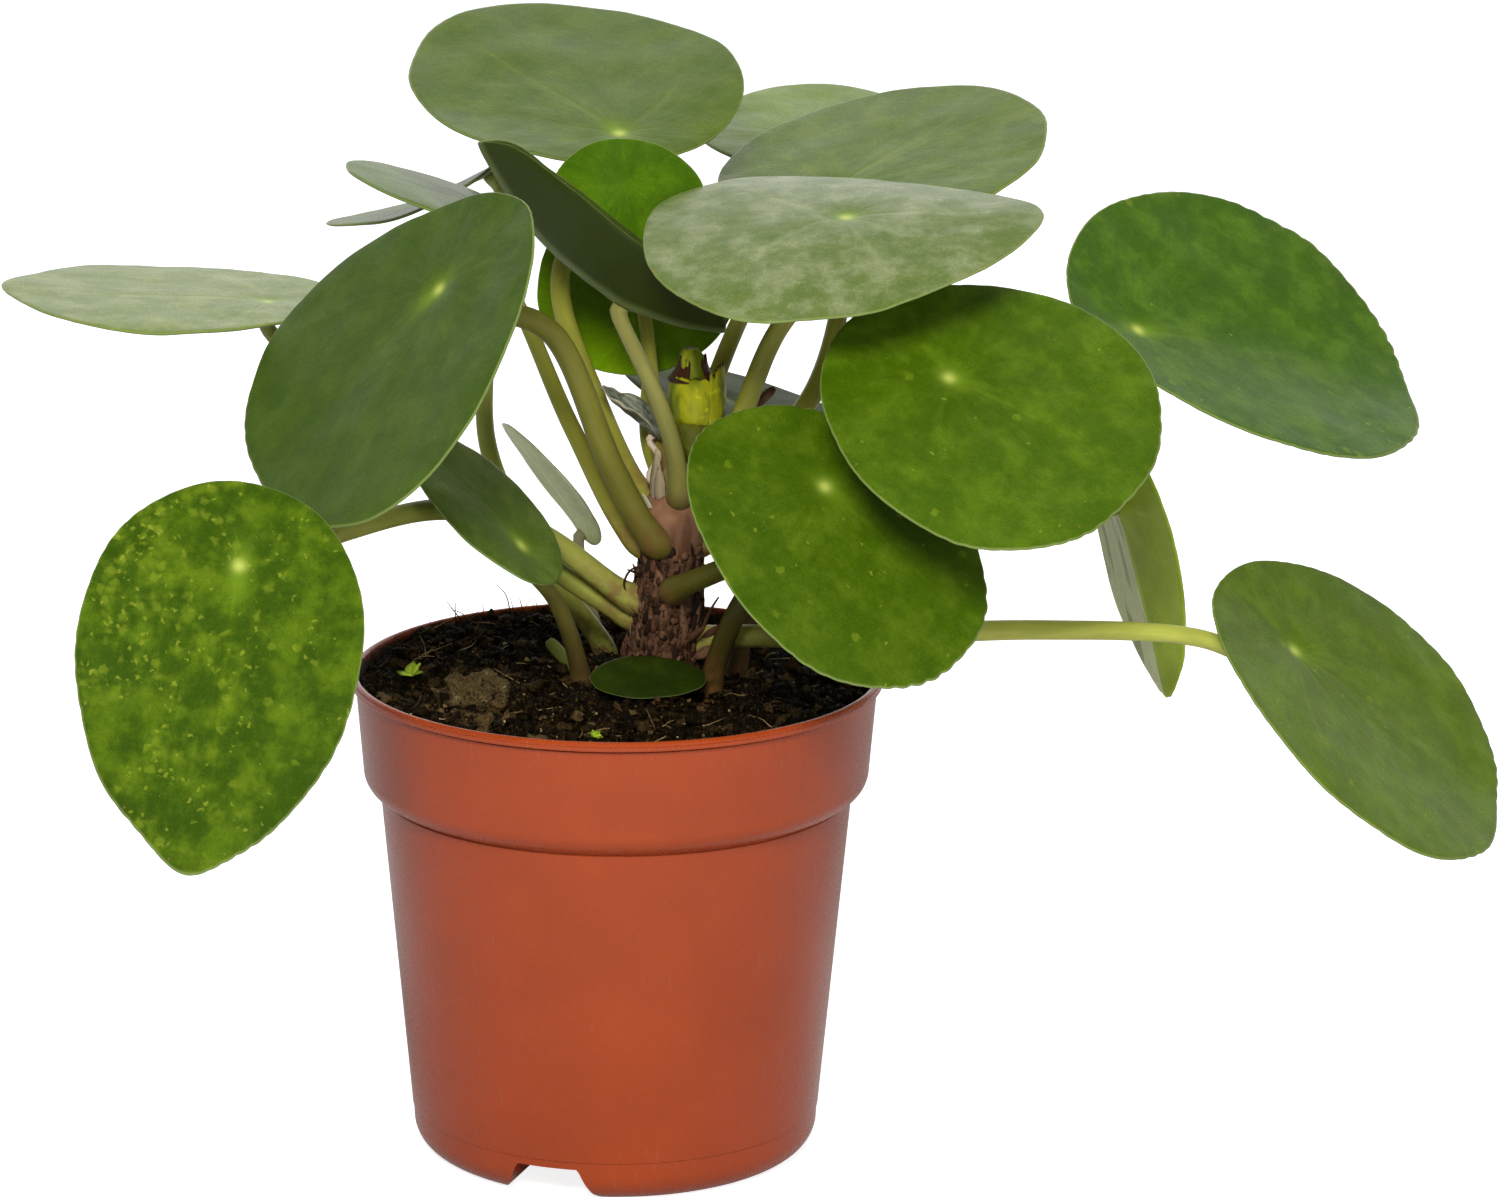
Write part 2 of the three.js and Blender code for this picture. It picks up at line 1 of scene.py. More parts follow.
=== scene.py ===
"""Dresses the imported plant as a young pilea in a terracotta-coloured nursery pot.

The file is laid out as an add-on. Every piece is made by an operator of its own, and the sizes
and colours that a user would change are properties of the scene. Lengths in the tables and the
making functions are millimetres, as in the part's source, and new_object() turns them into metres.
"""

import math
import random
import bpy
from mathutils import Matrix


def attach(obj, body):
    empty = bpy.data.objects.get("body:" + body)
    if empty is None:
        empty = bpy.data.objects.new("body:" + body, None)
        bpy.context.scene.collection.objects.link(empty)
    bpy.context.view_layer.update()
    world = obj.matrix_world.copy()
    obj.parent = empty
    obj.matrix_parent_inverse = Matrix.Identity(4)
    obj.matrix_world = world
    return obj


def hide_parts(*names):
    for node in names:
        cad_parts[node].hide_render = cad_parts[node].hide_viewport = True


bl_info = {
    "name": "Potted Pilea",
    "version": (1, 0, 0),
    "blender": (4, 5, 0),
    "location": "3D View > Sidebar > Pilea",
    "description": "Makes the finished pieces of a potted pilea round its packed solids",
    "category": "Object",
}

import bmesh
import bpy
import numpy as np
from mathutils import Matrix, Vector, noise

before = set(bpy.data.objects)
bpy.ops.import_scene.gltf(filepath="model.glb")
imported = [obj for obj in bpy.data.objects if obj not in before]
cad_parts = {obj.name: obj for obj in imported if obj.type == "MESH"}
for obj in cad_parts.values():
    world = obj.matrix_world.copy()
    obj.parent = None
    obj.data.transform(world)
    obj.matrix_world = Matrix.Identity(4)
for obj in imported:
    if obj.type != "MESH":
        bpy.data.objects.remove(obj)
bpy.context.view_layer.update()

# A millimetre in metres and a metre in millimetres
MM = 0.001
METRE = 1000
TURN = 2 * math.pi

# Pot, as in the part's source
POT_HEIGHT = 111
RIM_RADIUS = 60
RIM_BEAD = 2.2
COLLAR_BOTTOM = 83.8
COLLAR_TOP_RADIUS = 59
COLLAR_LOW_RADIUS = 57
COLLAR_ROUND = 5
BODY_TOP_RADIUS = 53.2
BODY_LOW_RADIUS = 45.9
FOOT_ROUND = 6.6
WALL = 1.3
NOTCH_COUNT = 3
NOTCH_FIRST = -109.5
NOTCH_WIDTH = 19
NOTCH_SLANT = 2.2
NOTCH_HEIGHT = 8
NOTCH_INNER = 16
DRAIN_RADIUS = 3
DRAIN_INSET = 2
# Height of the small step in the wall over the foot, and how far the foot's ring stands down
FOOT_STEP = 9.6
FOOT_HOLLOW = 1.2
POT_SIDES = 240
# Edges with a turn of more degrees than this stay sharp
POT_CREASE = 38
# How far below the rim the inside of the wall is darkened with soil and painted shade
INNER_DARK_DROP = 3.6

# Soil
SOIL_LEVEL = 107
SOIL_HEAP = 1.6
# How far the filling, and then what lies on it, stays off the wall
SOIL_GAP = 0.35
LITTER_GAP = 0.3
STEM_DEPTH = 9
SOIL_SIDES = 440
SOIL_RINGS = 120
# Clods narrower than this get fewer faces
SMALL_CLOD = 1.6
CHIPS = 60
GRAINS = 90
LITTER_SEED = 11
# Clods and fibres piled against the pot's wall at the back left
BACK_CLODS = 90
BACK_FIBRES = 110
# The big clump of soil: place and size of its three lumps
CLUMP = ((-32.5, -13, (12, 8, 8)), (-28, -14, (7, 6, 6)), (-37.5, -12.5, (6, 6, 4.5)))
# Seedlings: place and size
SEEDLINGS = ((-46.1, -2.2, 3.0), (-4.7, -41.5, 1.9))
SEEDLING_LEAVES = 11
SEEDLING_SEED = 5

# Trunk: centre, height and radius at each level
TRUNK = (
    (10, 3, 96, 8.6), (10, 3, 108, 9.4), (10.5, 2.5, 114, 9), (11, 2, 121, 8.2),
    (11.5, 1.5, 129, 7.8), (12, 1.5, 136, 7), (12.5, 1.5, 141, 7.4), (13, 1.5, 147, 6.8),
    (14, 2, 153, 5), (15, 2.5, 159, 3.6),
)
TRUNK_CLEARANCE = 10
BARK_LOW = 6
BARK_TOP = 139
BARK_SIDES = 120
BARK_ROWS = 190
# How far the smooth swelling stands out, which compass direction it leans to, and its height
SWELLING = 1.8
SWELLING_SIDE = 215
SWELLING_HEIGHT = 148
# Height where the small scales begin
FLAKES_LOW = 106
FLAKE_SEED = 21
# Scales that stand off the trunk: foot, direction, outer side, length, width and shade
STANDING_SCALES = (
    ((18.6, -2, 117), (0.75, -0.2, 1), (0.3, -1, 0), 8.5, 2.6, 0.55),
    ((19.2, 0, 120), (0.25, -0.1, 1), (1, -0.4, 0), 9.5, 2.2, 0.7),
    ((17.5, -4, 115), (0.9, -0.3, 0.55), (0, -1, 0.6), 7.5, 2.4, 0.8),
    ((16, -5, 119), (0.8, -0.3, 0.9), (0.2, -1, 0), 6.5, 1.8, 0.45),
    ((4.5, -2, 124), (-0.5, -0.3, 1), (-1, -0.4, 0), 4.5, 1.8, 0.4),
    ((5.2, -1, 133), (-0.7, -0.2, 0.6), (-1, -0.2, 0), 3.6, 1.6, 0.3),
    ((3.2, -3, 112), (-0.6, -0.5, 0.7), (-1, -0.6, 0), 5, 2, 0.35),
)
# The curled filament's course
FILAMENT = (
    (6, -3, 127), (3.4, -3.4, 128.4), (1.6, -3, 131), (2.4, -2.4, 134), (4.6, -2.2, 135.4),
    (5.8, -2.6, 134.2),
)
FILAMENT_RADIUS = 0.28
# Papery stipules round the swelling: foot, direction, outer side, length and width
STIPULES = (
    ((8.2, -1, 149), (0.1, 0.03, 1), (-0.8, -1, 0), 14, 3.4),
    ((9.4, -2.4, 150), (0.02, 0, 1), (-0.4, -1, 0), 9.5, 2.8),
    ((7.6, -1.5, 146.5), (-0.2, -0.1, 1), (-1, -0.6, 0), 6.5, 3.4),
    ((16.8, -1, 151), (0.1, -0.1, 1), (0.6, -1, 0), 7, 3),
)

# Walls of the bud: radius, height and sideways lean at each level
SHEATH = ((3, 155.5, 0), (3.8, 158, 0), (4.7, 161, 0), (5.5, 164, 0), (6, 166.5, 0), (6.2, 168.5, 0))
CUP = (
    (2.2, 158, 0), (2.4, 162, 0), (2.8, 164.2, 0), (4, 165.4, 0), (5.2, 167, 0), (6, 169.2, 0),
    (6.4, 171.6, 0), (6.5, 174, 0), (6.3, 176.2, 0), (6, 177.8, 0), (5.8, 178.7, 0),
)
FLAP = ((5.9, 166, 0), (6.5, 169, 0), (6.7, 172, 0), (6.6, 175, 0), (6.2, 178, 0.3), (5.6, 180.6, 0.4))
SKIRT = ((5.6, 177.6, 0), (4.7, 178.6, 0), (3.9, 179.8, 0), (3.4, 181.2, 0), (3.1, 182.6, 0))
# Radius and height of the hood at each level, with its foot given twice
HOOD = (
    (4.8, 176), (4.8, 176), (4.2, 177), (3.6, 178.2), (3.3, 179.4), (3.1, 180.8), (2.8, 182.2),
    (2.4, 183.5), (1.7, 184.4), (0.8, 184.8),
)
HOOD_SIDES = 40
HOOD_LEAN = 0.06
CUP_CENTRE = (17.6, 3)
HOOD_CENTRE = (16.6, 2.6)
SHEATH_CENTRE = (16.9, 2.8)
# Scales that make up the bud: wall, compass direction where each starts and ends, how deep the
# teeth of its rim are, and the seed of the teeth
CUP_SCALES = ((CUP, 150, 332, 0.45, 3), (CUP, -32, 172, 0.45, 4), (FLAP, -64, 22, 1.6, 6))
SKIRT_SCALES = ((SKIRT, 140, 262, 1.0, 12), (SKIRT, -50, 40, 1.0, 13))
SHEATH_SCALES = ((SHEATH, 160, 300, 0.2, 15), (SHEATH, -50, 60, 0.2, 16), (SHEATH, 70, 150, 0.2, 17))
SCALE_STEPS = 26

# Blades and stalks
BLADE_MIDDLE = 1.2
BLADE_RIM = 0.8
SLOPE_STEP = 0.5
DIMPLE_DEPTH = 0.7
DIMPLE_RADIUS = 4
FOLD_SOFTNESS = 0.2
RIPPLE = 0.005
SCALLOPS = 9
LOBE = 4.4
VEIN_DEPTH = 0.05
VEIN_COUNT = 4.5
VEIN_ARCH = 160
TIP_SPREAD = 0.3
EGG = 0.06
STALK_RISE = 25
STALK_OUT = 2
NECK = 5
# Rings across a blade and points round it, with the length that parts small blades from large ones
SMALL_BLADE = 50
SMALL_GRID = (14, 120)
LARGE_GRID = (20, 280)
DRIED_GRID = (18, 72)
STALK_SIDES = 20
STUB_SIDES = 16

# Each leaf as in the part's source. at is where the stalk meets the blade. face is the compass
# direction and the height, in degrees, of the way the upper side looks. turn is how far the tip
# is turned from straight downhill. back is the share of the length behind the stalk, and aside
# is how far the outline sits to one side of it. The rest bends the blade, in millimetres at its
# edge. trunk is the height and compass direction of the stalk's root, and soil is its place.
LEAVES = (
    dict(
        name="crown_back", slot="blade", at=(0.2, 42, 225.5), face=(-93.5, 73.5), turn=221,
        length=85, width=72, back=0.176, aside=-7.2, egg=0.08, cup=1, wave=1, waves=3,
        trunk=(146, 150), via=((-5, 15, 170), (-13, 23, 196)), stalk=(5.6, 3.6),
    ),
    dict(
        name="far_back", slot="blade_pale", at=(44.5, 101, 213), face=(-90, 80), turn=170,
        length=60, width=53, back=0.35, bow=1, wave=1, waves=2,
        trunk=(152, 80), via=((24, 16, 180), (36, 58, 196)), stalk=(4.4, 3),
    ),
    dict(
        name="crown_right", slot="blade", at=(49.5, 55, 210.5), face=(-130, 74), turn=172,
        length=78, width=76, back=0.28, cup=1, wave=1, waves=2,
        trunk=(148, 30), via=((42, 12, 169), (51, 34, 192)), stalk=(5.4, 3.6),
    ),
    dict(
        name="centre", slot="blade", at=(50, -11, 217.2), face=(-106, 79), turn=103,
        length=88, width=75.5, back=0.51, aside=-2.6, bow=1, cup=-6, egg=0.33, wave=1, waves=3,
        trunk=(150, -20), via=((27, -3, 169), (35, -6, 190)), stalk=(5.4, 3.6),
    ),
    dict(
        name="front_right", slot="blade_deep", at=(72, -34, 186.4), face=(-77, 55), turn=52,
        length=75, width=78, back=0.35, aside=-3.5, bow=1, cup=1, egg=-0.12, wave=1, waves=2,
        soil=(20.8, -5), via=((26.6, -10, 127), (46, -15, 156)), stalk=(5.2, 3.8),
    ),
    dict(
        name="front_low", slot="blade_deep", at=(45, -42, 164), face=(-68, 41), turn=35,
        length=75, width=59, back=0.366, aside=-9, bow=1, cup=1, egg=-0.11, wave=1, waves=3,
        trunk=(127.5, -78), via=((22, -16, 138), (37, -32, 148)), stalk=(5.4, 3.8),
    ),
    dict(
        name="right_upper", slot="blade_deep", at=(116.5, 12, 187), face=(-40, 54), turn=64,
        length=93, width=83, back=0.19, aside=3, fold=9, egg=-0.09, wave=1, waves=2,
        trunk=(137, 5), via=((40, 4, 152), (80, 8, 172)), stalk=(5.4, 3.6),
    ),
    dict(
        name="right_low", slot="blade_deep", at=(151, -15, 120), face=(-34, 45), turn=31,
        length=85, width=78, back=0.28, aside=-3.5, bow=1, fold=4, egg=-0.12, wave=1, waves=2,
        trunk=(113.5, -15), via=((50, -6, 120.5), (95, -9, 123), (130, -12, 122)), stalk=(5.4, 3.8),
    ),
    dict(
        name="right_hanging", slot="blade_pale", at=(115, 30, 142), face=(24, 11), turn=-14,
        length=62, width=39, back=0.3, bow=1, fold=3, wave=1, waves=2, point=2,
        soil=(27, 9), via=((34, 12, 128), (80, 20, 148)), stalk=(4.4, 3),
    ),
    dict(
        name="crown_small", slot="blade_bright", at=(1.5, 21.5, 218), face=(-90, 8), turn=-11,
        length=33.5, width=35, back=0.305, aside=1.7, egg=0.13, cup=1, wave=0.5, waves=2,
        trunk=(155, 128), via=((6.5, 21.5, 184),), stalk=(3.6, 2.6),
    ),
    dict(
        name="folded", slot="blade_deep", at=(1.2, -1, 195.7), face=(15, 61), turn=166,
        length=68, width=27, back=0.34, bow=-9, fold=18, egg=0, wave=0.5, waves=2, neck=1.2,
        trunk=(150, -88), via=((12.6, -4.8, 163), (7.6, -4.5, 177.5)), stalk=(4.6, 3.4),
    ),
    dict(
        name="back_centre", slot="blade_bright", at=(7.5, 34, 182.5), face=(-95, 35), turn=200,
        length=46, width=46, back=0.25, bow=1, cup=1, wave=0.5, waves=2,
        trunk=(146, 104), via=((6.8, 19, 160),), stalk=(4, 2.8),
    ),
    dict(
        name="left_large", slot="blade_deep", at=(-38.5, -40, 207), face=(-146, 38), turn=-19,
        length=84.5, width=81, back=0.316, aside=4.8, fold=2, egg=-0.28, wave=1, waves=2,
        trunk=(139, -122), via=((-1, -10.5, 160), (-14.5, -16, 192)), stalk=(6.2, 4.6),
    ),
    dict(
        name="left_low", slot="blade_deep", at=(-80, -78, 155.2), face=(-89.5, 34.5), turn=-6,
        length=84, width=60, back=0.23, aside=-1.8, egg=0.11, bow=1, cup=1, wave=1, waves=3, point=4,
        trunk=(124, 195), via=((-17, -3, 143), (-37, -20, 153), (-59, -48, 155)), stalk=(5.6, 3.8),
    ),
    dict(
        name="left_far", slot="blade", at=(-78.5, 20, 191), face=(13, 88), turn=170,
        length=72.5, width=72, back=0.217, aside=-3.5, egg=-0.1, wave=1, waves=2, point=3,
        trunk=(119, 175), via=((-15, 4, 134), (-50, 12, 165)), stalk=(5, 3.4),
    ),
    dict(
        name="left_back_upper", slot="blade_pale", at=(-30.5, 44, 207.3), face=(2, 69), turn=180,
        length=44, width=40, back=0.25, bow=1, wave=0.5, waves=2,
        trunk=(137, 185), via=((-10, 10, 164), (-23, 34, 188)), stalk=(4.6, 3),
    ),
    dict(
        name="left_back", slot="blade_pale", at=(-30.5, 86, 208), face=(165, 57), turn=10,
        length=46, width=42, back=0.15, bow=-3, wave=0.5, waves=2,
        soil=(-2.5, 28), via=((-17, 34, 127), (-30, 48, 152)), stalk=(5, 3.2),
    ),
    dict(
        name="left_small", slot="blade_deep", at=(-21, -28, 147), face=(-25, 44), turn=188,
        length=46, width=34, back=0.24, bow=1, fold=1, wave=0.5, waves=2, neck=1.5,
        soil=(-8, 3), via=((-14, -17, 132),), stalk=(4.6, 3),
    ),
    dict(
        name="left_sliver", slot="blade_pale", at=(-7.2, 40, 133), face=(27, 32), turn=180,
        length=38, width=22, back=0.1, bow=1, fold=1, wave=0.3, waves=2, neck=1,
        soil=(-4.5, 39), via=(), stalk=(3, 2.2),
    ),
    dict(
        name="back_right", slot="blade_pale", at=(25, 54, 160.8), face=(-8, 73), turn=30,
        length=56, width=50, back=0.45, wave=0.5, waves=2,
        trunk=(132, 70), via=((20, 32, 142),), stalk=(4, 3),
    ),
    dict(
        name="soil_front", slot="blade_deep", at=(7, -13, 113), face=(-90, 55), turn=90,
        length=26, width=12, back=0.5, bow=1, wave=0.3, waves=2,
        soil=(7, -9.5), via=(), stalk=(2.6, 2),
    ),
)

# The dried leaf that hangs in front of the bud, fused with its thin stalk
DRIED = dict(
    name="dried", at=(8.5, 6, 164.6), face=(-15, 54), turn=185, neck=1.5,
    length=18, width=9, back=0.1, fold=3, wave=0.5, waves=3,
    trunk=(152, 185), via=((9.2, 3, 159.5),), stalk=(1.6, 1.4),
)

# What is left of two leaves that came off
STUBS = (
    dict(
        name="stub_left", slot="stalk",
        soil=(-9.5, 10), via=((-15.6, 12, 114.6),), stalk=(4, 2.6),
    ),
    dict(
        name="stub_right", slot="wither",
        trunk=(156, 0), via=((24, 3.5, 161), (29, 5, 169), (35, 5, 175)), stalk=(2.4, 2),
    ),
)


# How each blade looks: main and light green, the underside's green, how cloudy, how many yellow
# spots, how clear the veins, how long the pale glow round the stalk's end is drawn out in
# millimetres, how deep the scallops of its rim are against the rest, the colour of one half of
# the underside with the side that it is on, which on two leaves is painted sheen and painted
# shade, and how much light comes through
PLAIN_LOOK = dict(green=(0.045, 0.1, 0.005), light=(0.1, 0.18, 0.012), under=(0.12, 0.17, 0.05),
                  cloud=0.6, spots=0.0, veins=0.4, glow=3.5, rough=0.44, nicks=0.6,
                  half=(0.1, 0.1, 0.1), turn=0.0, thin=0.0)
GREY_LOOK = dict(green=(0.075, 0.12, 0.011), light=(0.12, 0.17, 0.022), cloud=0.5, veins=0.45,
                 rough=0.36, nicks=0.15)
LOOKS = {
    "crown_back": dict(GREY_LOOK, veins=0.8, glow=4),
    "far_back": dict(GREY_LOOK, green=(0.13, 0.2, 0.014), light=(0.18, 0.26, 0.03)),
    "crown_right": dict(GREY_LOOK, green=(0.08, 0.13, 0.008), light=(0.15, 0.2, 0.025), veins=0.8),
    # The centre's pale grey light green is a painted sheen, laid in blotches over the blade's own green
    "centre": dict(GREY_LOOK, green=(0.11, 0.155, 0.03), light=(0.25, 0.28, 0.14), cloud=0.7, veins=0.9,
                   glow=3, nicks=0.2),
    "front_right": dict(green=(0.056, 0.11, 0.001), light=(0.12, 0.2, 0.008), cloud=0.5, spots=0.05),
    "front_low": dict(green=(0.05, 0.098, 0.001), light=(0.11, 0.175, 0.008), cloud=0.5, spots=0.1,
                      glow=4.5, nicks=1),
    "right_upper": dict(green=(0.045, 0.105, 0.002), light=(0.11, 0.2, 0.012), cloud=0.5, spots=0.05,
                        glow=5, nicks=1),
    "right_low": dict(green=(0.085, 0.14, 0.004), light=(0.14, 0.22, 0.012), cloud=0.5, spots=0.04,
                      nicks=0.8),
    # Its half is a pale grey painted sheen on one half of the underside, streaked with painted crease shade
    "right_hanging": dict(green=(0.18, 0.27, 0.008), under=(0.34, 0.46, 0.03), cloud=0.9, veins=0.8,
                          half=(0.6, 0.66, 0.4), turn=1.0, thin=0.5),
    "crown_small": dict(green=(0.055, 0.125, 0.001), light=(0.1, 0.2, 0.003), cloud=0.6, nicks=0.2,
                        glow=0.5),
    # Its half is a dark tone, partly the blade's own dark underside and partly painted shade, so the strip
    # along the fold stands out as a painted highlight
    "folded": dict(green=(0.045, 0.065, 0.008), light=(0.2, 0.24, 0.06), under=(0.12, 0.16, 0.05),
                   half=(0.021, 0.034, 0.002), turn=0.3, cloud=0.0, nicks=0.3),
    "back_centre": dict(green=(0.13, 0.25, 0.001), light=(0.2, 0.34, 0.004), nicks=0.2, glow=0.5),
    "left_large": dict(green=(0.05, 0.092, 0.007), light=(0.085, 0.135, 0.014), cloud=0.5, glow=5,
                       veins=0.25, nicks=0.35),
    "left_low": dict(green=(0.035, 0.075, 0.001), light=(0.12, 0.195, 0.005), cloud=0.6, spots=0.75,
                     veins=0.7, glow=6, nicks=0.6),
    "left_far": dict(GREY_LOOK, green=(0.13, 0.185, 0.015), light=(0.24, 0.28, 0.08), cloud=0.7, veins=1),
    "left_back_upper": dict(GREY_LOOK, nicks=0.1),
    "left_back": dict(GREY_LOOK, nicks=0.1),
    "left_small": dict(green=(0.07, 0.115, 0.012), light=(0.12, 0.17, 0.03), cloud=0.7, nicks=0.3,
                       rough=0.36),
    # The sliver's very pale greens are partly its own pale underside and partly painted sheen
    "left_sliver": dict(GREY_LOOK, green=(0.5, 0.6, 0.3), under=(0.85, 0.92, 0.6), veins=1, nicks=0.1,
                        thin=0.8, rough=0.6),
    "back_right": dict(GREY_LOOK, under=(0.22, 0.26, 0.05), nicks=0.1, rough=0.6, thin=0.3),
    "soil_front": dict(green=(0.013, 0.022, 0.001), light=(0.03, 0.05, 0.002), veins=0.1, nicks=0.1,
                       glow=0.5),
}

# Stalk colours at the root and at the blade
OLIVE = ((0.22, 0.21, 0.026), (0.28, 0.28, 0.038))
STALK_TINTS = {
    "front_right": ((0.04, 0.03, 0.004), (0.09, 0.085, 0.014)),
    "left_large": ((0.13, 0.12, 0.014), (0.15, 0.145, 0.022)),
    "folded": ((0.13, 0.12, 0.022), (0.2, 0.19, 0.05)),
    "front_low": ((0.075, 0.065, 0.008), (0.09, 0.09, 0.012)),
    "right_low": ((0.3, 0.32, 0.055), (0.4, 0.42, 0.07)),
    "right_hanging": ((0.11, 0.065, 0.025), (0.2, 0.19, 0.05)),
    "left_small": ((0.12, 0.066, 0.022), (0.17, 0.15, 0.03)),
    "left_sliver": ((0.2, 0.13, 0.06), (0.28, 0.26, 0.13)),
    # The left_back stalk's pale tints, lightest at the root, are partly its own olive and partly painted
    # light over a stalk that lies in shade
    "left_back": ((0.4, 0.42, 0.07), (0.34, 0.36, 0.08)),
    "left_low": ((0.27, 0.28, 0.05), (0.24, 0.25, 0.045)),
    "left_far": ((0.24, 0.26, 0.04), (0.22, 0.24, 0.045)),
}

# Specks of the peat's grit: size, spacing, share of the cells, strength and colour
GRIT = (
    (0.3, 0.9, 0.4, 0.55, (0.16, 0.095, 0.03)),
    (0.22, 1.3, 0.3, 0.8, (0.36, 0.26, 0.1)),
    (0.45, 2.3, 0.3, 0.6, (0.09, 0.1, 0.012)),
)

# How strongly each matter mirrors
LEAF_SHINE = 0.32
EARTH_SHINE = 0.15
BARK_SHINE = 0.3
PLASTIC_SHINE = 0.4
# How far light reaches inside a thin blade, in metres, and how far its red, green and blue
# reach against one another
THROUGH_LEAF = 0.002
THROUGH_LEAF_TINTS = (0.8, 1.0, 0.5)

# Camera, from the pot's outline in the photograph
CAMERA_DISTANCE = 1.448
CAMERA_HEIGHT = 0.513
CAMERA_LENS = 160.32
CAMERA_PITCH = 14.9
CAMERA_ROLL = 0.49
CAMERA_YAW = 1.18


def compass(azimuth, elevation):
    """Unit vector with a compass direction, counted from +X towards +Y, and a height in degrees."""
    a, e = math.radians(azimuth), math.radians(elevation)
    return np.array((math.cos(e) * math.cos(a), math.cos(e) * math.sin(a), math.sin(e)))


def turned(vector, axis, degrees):
    """The vector turned about an axis that stands square to it."""
    a = math.radians(degrees)
    return vector * math.cos(a) + np.cross(axis, vector) * math.sin(a)


def unit(vectors):
    """The vectors at length 1."""
    return vectors / np.maximum(np.linalg.norm(vectors, axis=-1, keepdims=True), 1e-9)


def round_angles(count):
    """So many angles, evenly round a full turn."""
    return np.arange(count) / count * TURN


def unevenness(points, size, depth, seed):
    """Smooth rises and dips of about that size and depth at each point."""
    shift = Vector((seed * 17.3, seed * 5.1, seed * 9.7))
    return np.array([depth * noise.noise(Vector(p) / size + shift) for p in points])


def closed_rings(rings, sides):
    """Faces of a closed body whose points lie in rings, one after another."""
    faces = []
    for k in range(rings - 1):
        low, high = k * sides, (k + 1) * sides
        for i in range(sides):
            j = (i + 1) % sides
            faces.append((low + i, low + j, high + j, high + i))
    last = (rings - 1) * sides
    return faces + [tuple(range(sides))[::-1], tuple(range(last, last + sides))]


def shell_faces(rows, columns, turned_side):
    """Faces of a thin sheet: a grid of points for each of its two sides, joined at the border."""
    per = rows * columns
    faces = []
    for side in (0, 1):
        for k in range(rows - 1):
            for i in range(columns - 1):
                a = side * per + k * columns + i
                quad = (a, a + 1, a + columns + 1, a + columns)
                faces.append(quad[::-1] if side == turned_side else quad)
    border = [*range(columns), *range(2 * columns - 1, per, columns),
              *range(per - 2, per - columns - 1, -1), *range(per - 2 * columns, 0, -columns)]
    return faces + [(b, a, per + a, per + b) for a, b in zip(border, border[1:] + border[:1])]


def smooth_path(knots, step):
    """Points every step along a centripetal Catmull-Rom curve through the knots."""
    knots = [np.array(k, float) for k in knots]
    first, last = 2 * knots[0] - knots[1], 2 * knots[-1] - knots[-2]
    chain = [first, *knots, last]
    dense = []
    for p0, p1, p2, p3 in zip(chain, chain[1:], chain[2:], chain[3:]):
        d0, d1, d2 = (math.sqrt(np.linalg.norm(b - a)) for a, b in ((p0, p1), (p1, p2), (p2, p3)))
        m1 = d1 * ((p1 - p0) / d0 - (p2 - p0) / (d0 + d1) + (p2 - p1) / d1)
        m2 = d1 * ((p2 - p1) / d1 - (p3 - p1) / (d1 + d2) + (p3 - p2) / d2)
        t = np.linspace(0, 1, 24, endpoint=False)[:, None]
        rest = (2 * p1 - 2 * p2 + m1 + m2) * t**3 + (3 * p2 - 3 * p1 - 2 * m1 - m2) * t**2
        dense.append(p1 + m1 * t + rest)
    dense = np.concatenate((*dense, [knots[-1]]))
    way = np.append(0, np.cumsum(np.linalg.norm(np.diff(dense, axis=0), axis=1)))
    steps = max(3, round(way[-1] / step))
    at = np.linspace(0, way[-1], steps + 1)
    return np.column_stack([np.interp(at, way, dense[:, i]) for i in range(3)])


def tube(path, radii, sides, flat=1.0):
    """Points, faces and place of a closed tube along a path. Place is (way, cosine, sine)."""
    tangent = unit(np.gradient(path, axis=0))
    start = np.cross(tangent[0], (0.31, 0.77, 0.11))
    normal = start / np.linalg.norm(start)
    angle = round_angles(sides)
    way = np.append(0, np.cumsum(np.linalg.norm(np.diff(path, axis=0), axis=1)))
    points, place = [], []
    for k, centre in enumerate(path):
        normal = normal - tangent[k] * np.dot(normal, tangent[k])
        normal = normal / np.linalg.norm(normal)
        side = np.cross(tangent[k], normal)
        ring = np.outer(np.cos(angle), normal) + flat * np.outer(np.sin(angle), side)
        points.append(centre + radii[k] * ring)
        place.append(np.column_stack((np.full(sides, way[k]), np.cos(angle), np.sin(angle))))
    return np.concatenate(points), closed_rings(len(path), sides), np.concatenate(place)


def round_body(profile, sides, centres=None, push=None):
    """A closed body through (radius, height) levels. push(k, angle) widens level k."""
    angle = round_angles(sides)
    points = []
    for k, (radius, height) in enumerate(profile):
        wide = radius + (push(k, angle) if push else 0)
        x, y = centres[k] if centres else (0, 0)
        level = np.full(sides, float(height))
        points.append(np.column_stack((x + wide * np.cos(angle), y + wide * np.sin(angle), level)))
    return np.concatenate(points), closed_rings(len(profile), sides)


def pointed_scale(base, way, out, length, width, curl, thick):
    """A thin pointed scale: it grows from base along way and curls towards out."""
    way, out = unit(np.array(way, float)), np.array(out, float)
    out = unit(out - way * np.dot(out, way))
    side = np.cross(way, out)
    shares = (0.0, 0.25, 0.5, 0.75, 1.0)
    widths = (0.55, 0.95, 1.0, 0.62, 0.06)
    points = []
    for face in (1, -1):
        for t, w in zip(shares, widths):
            spine = np.array(base) + way * (length * t * (1 - 0.3 * curl * t))
            spine = spine + out * (curl * length * t * t)
            for s in (-1, 0, 1):
                lift = 0.12 * width * (1 - s * s) + face * thick / 2 * (1 - 0.6 * t)
                points.append(spine + side * (s * w * width / 2) + out * lift)
    return np.array(points), shell_faces(len(shares), 3, 0)


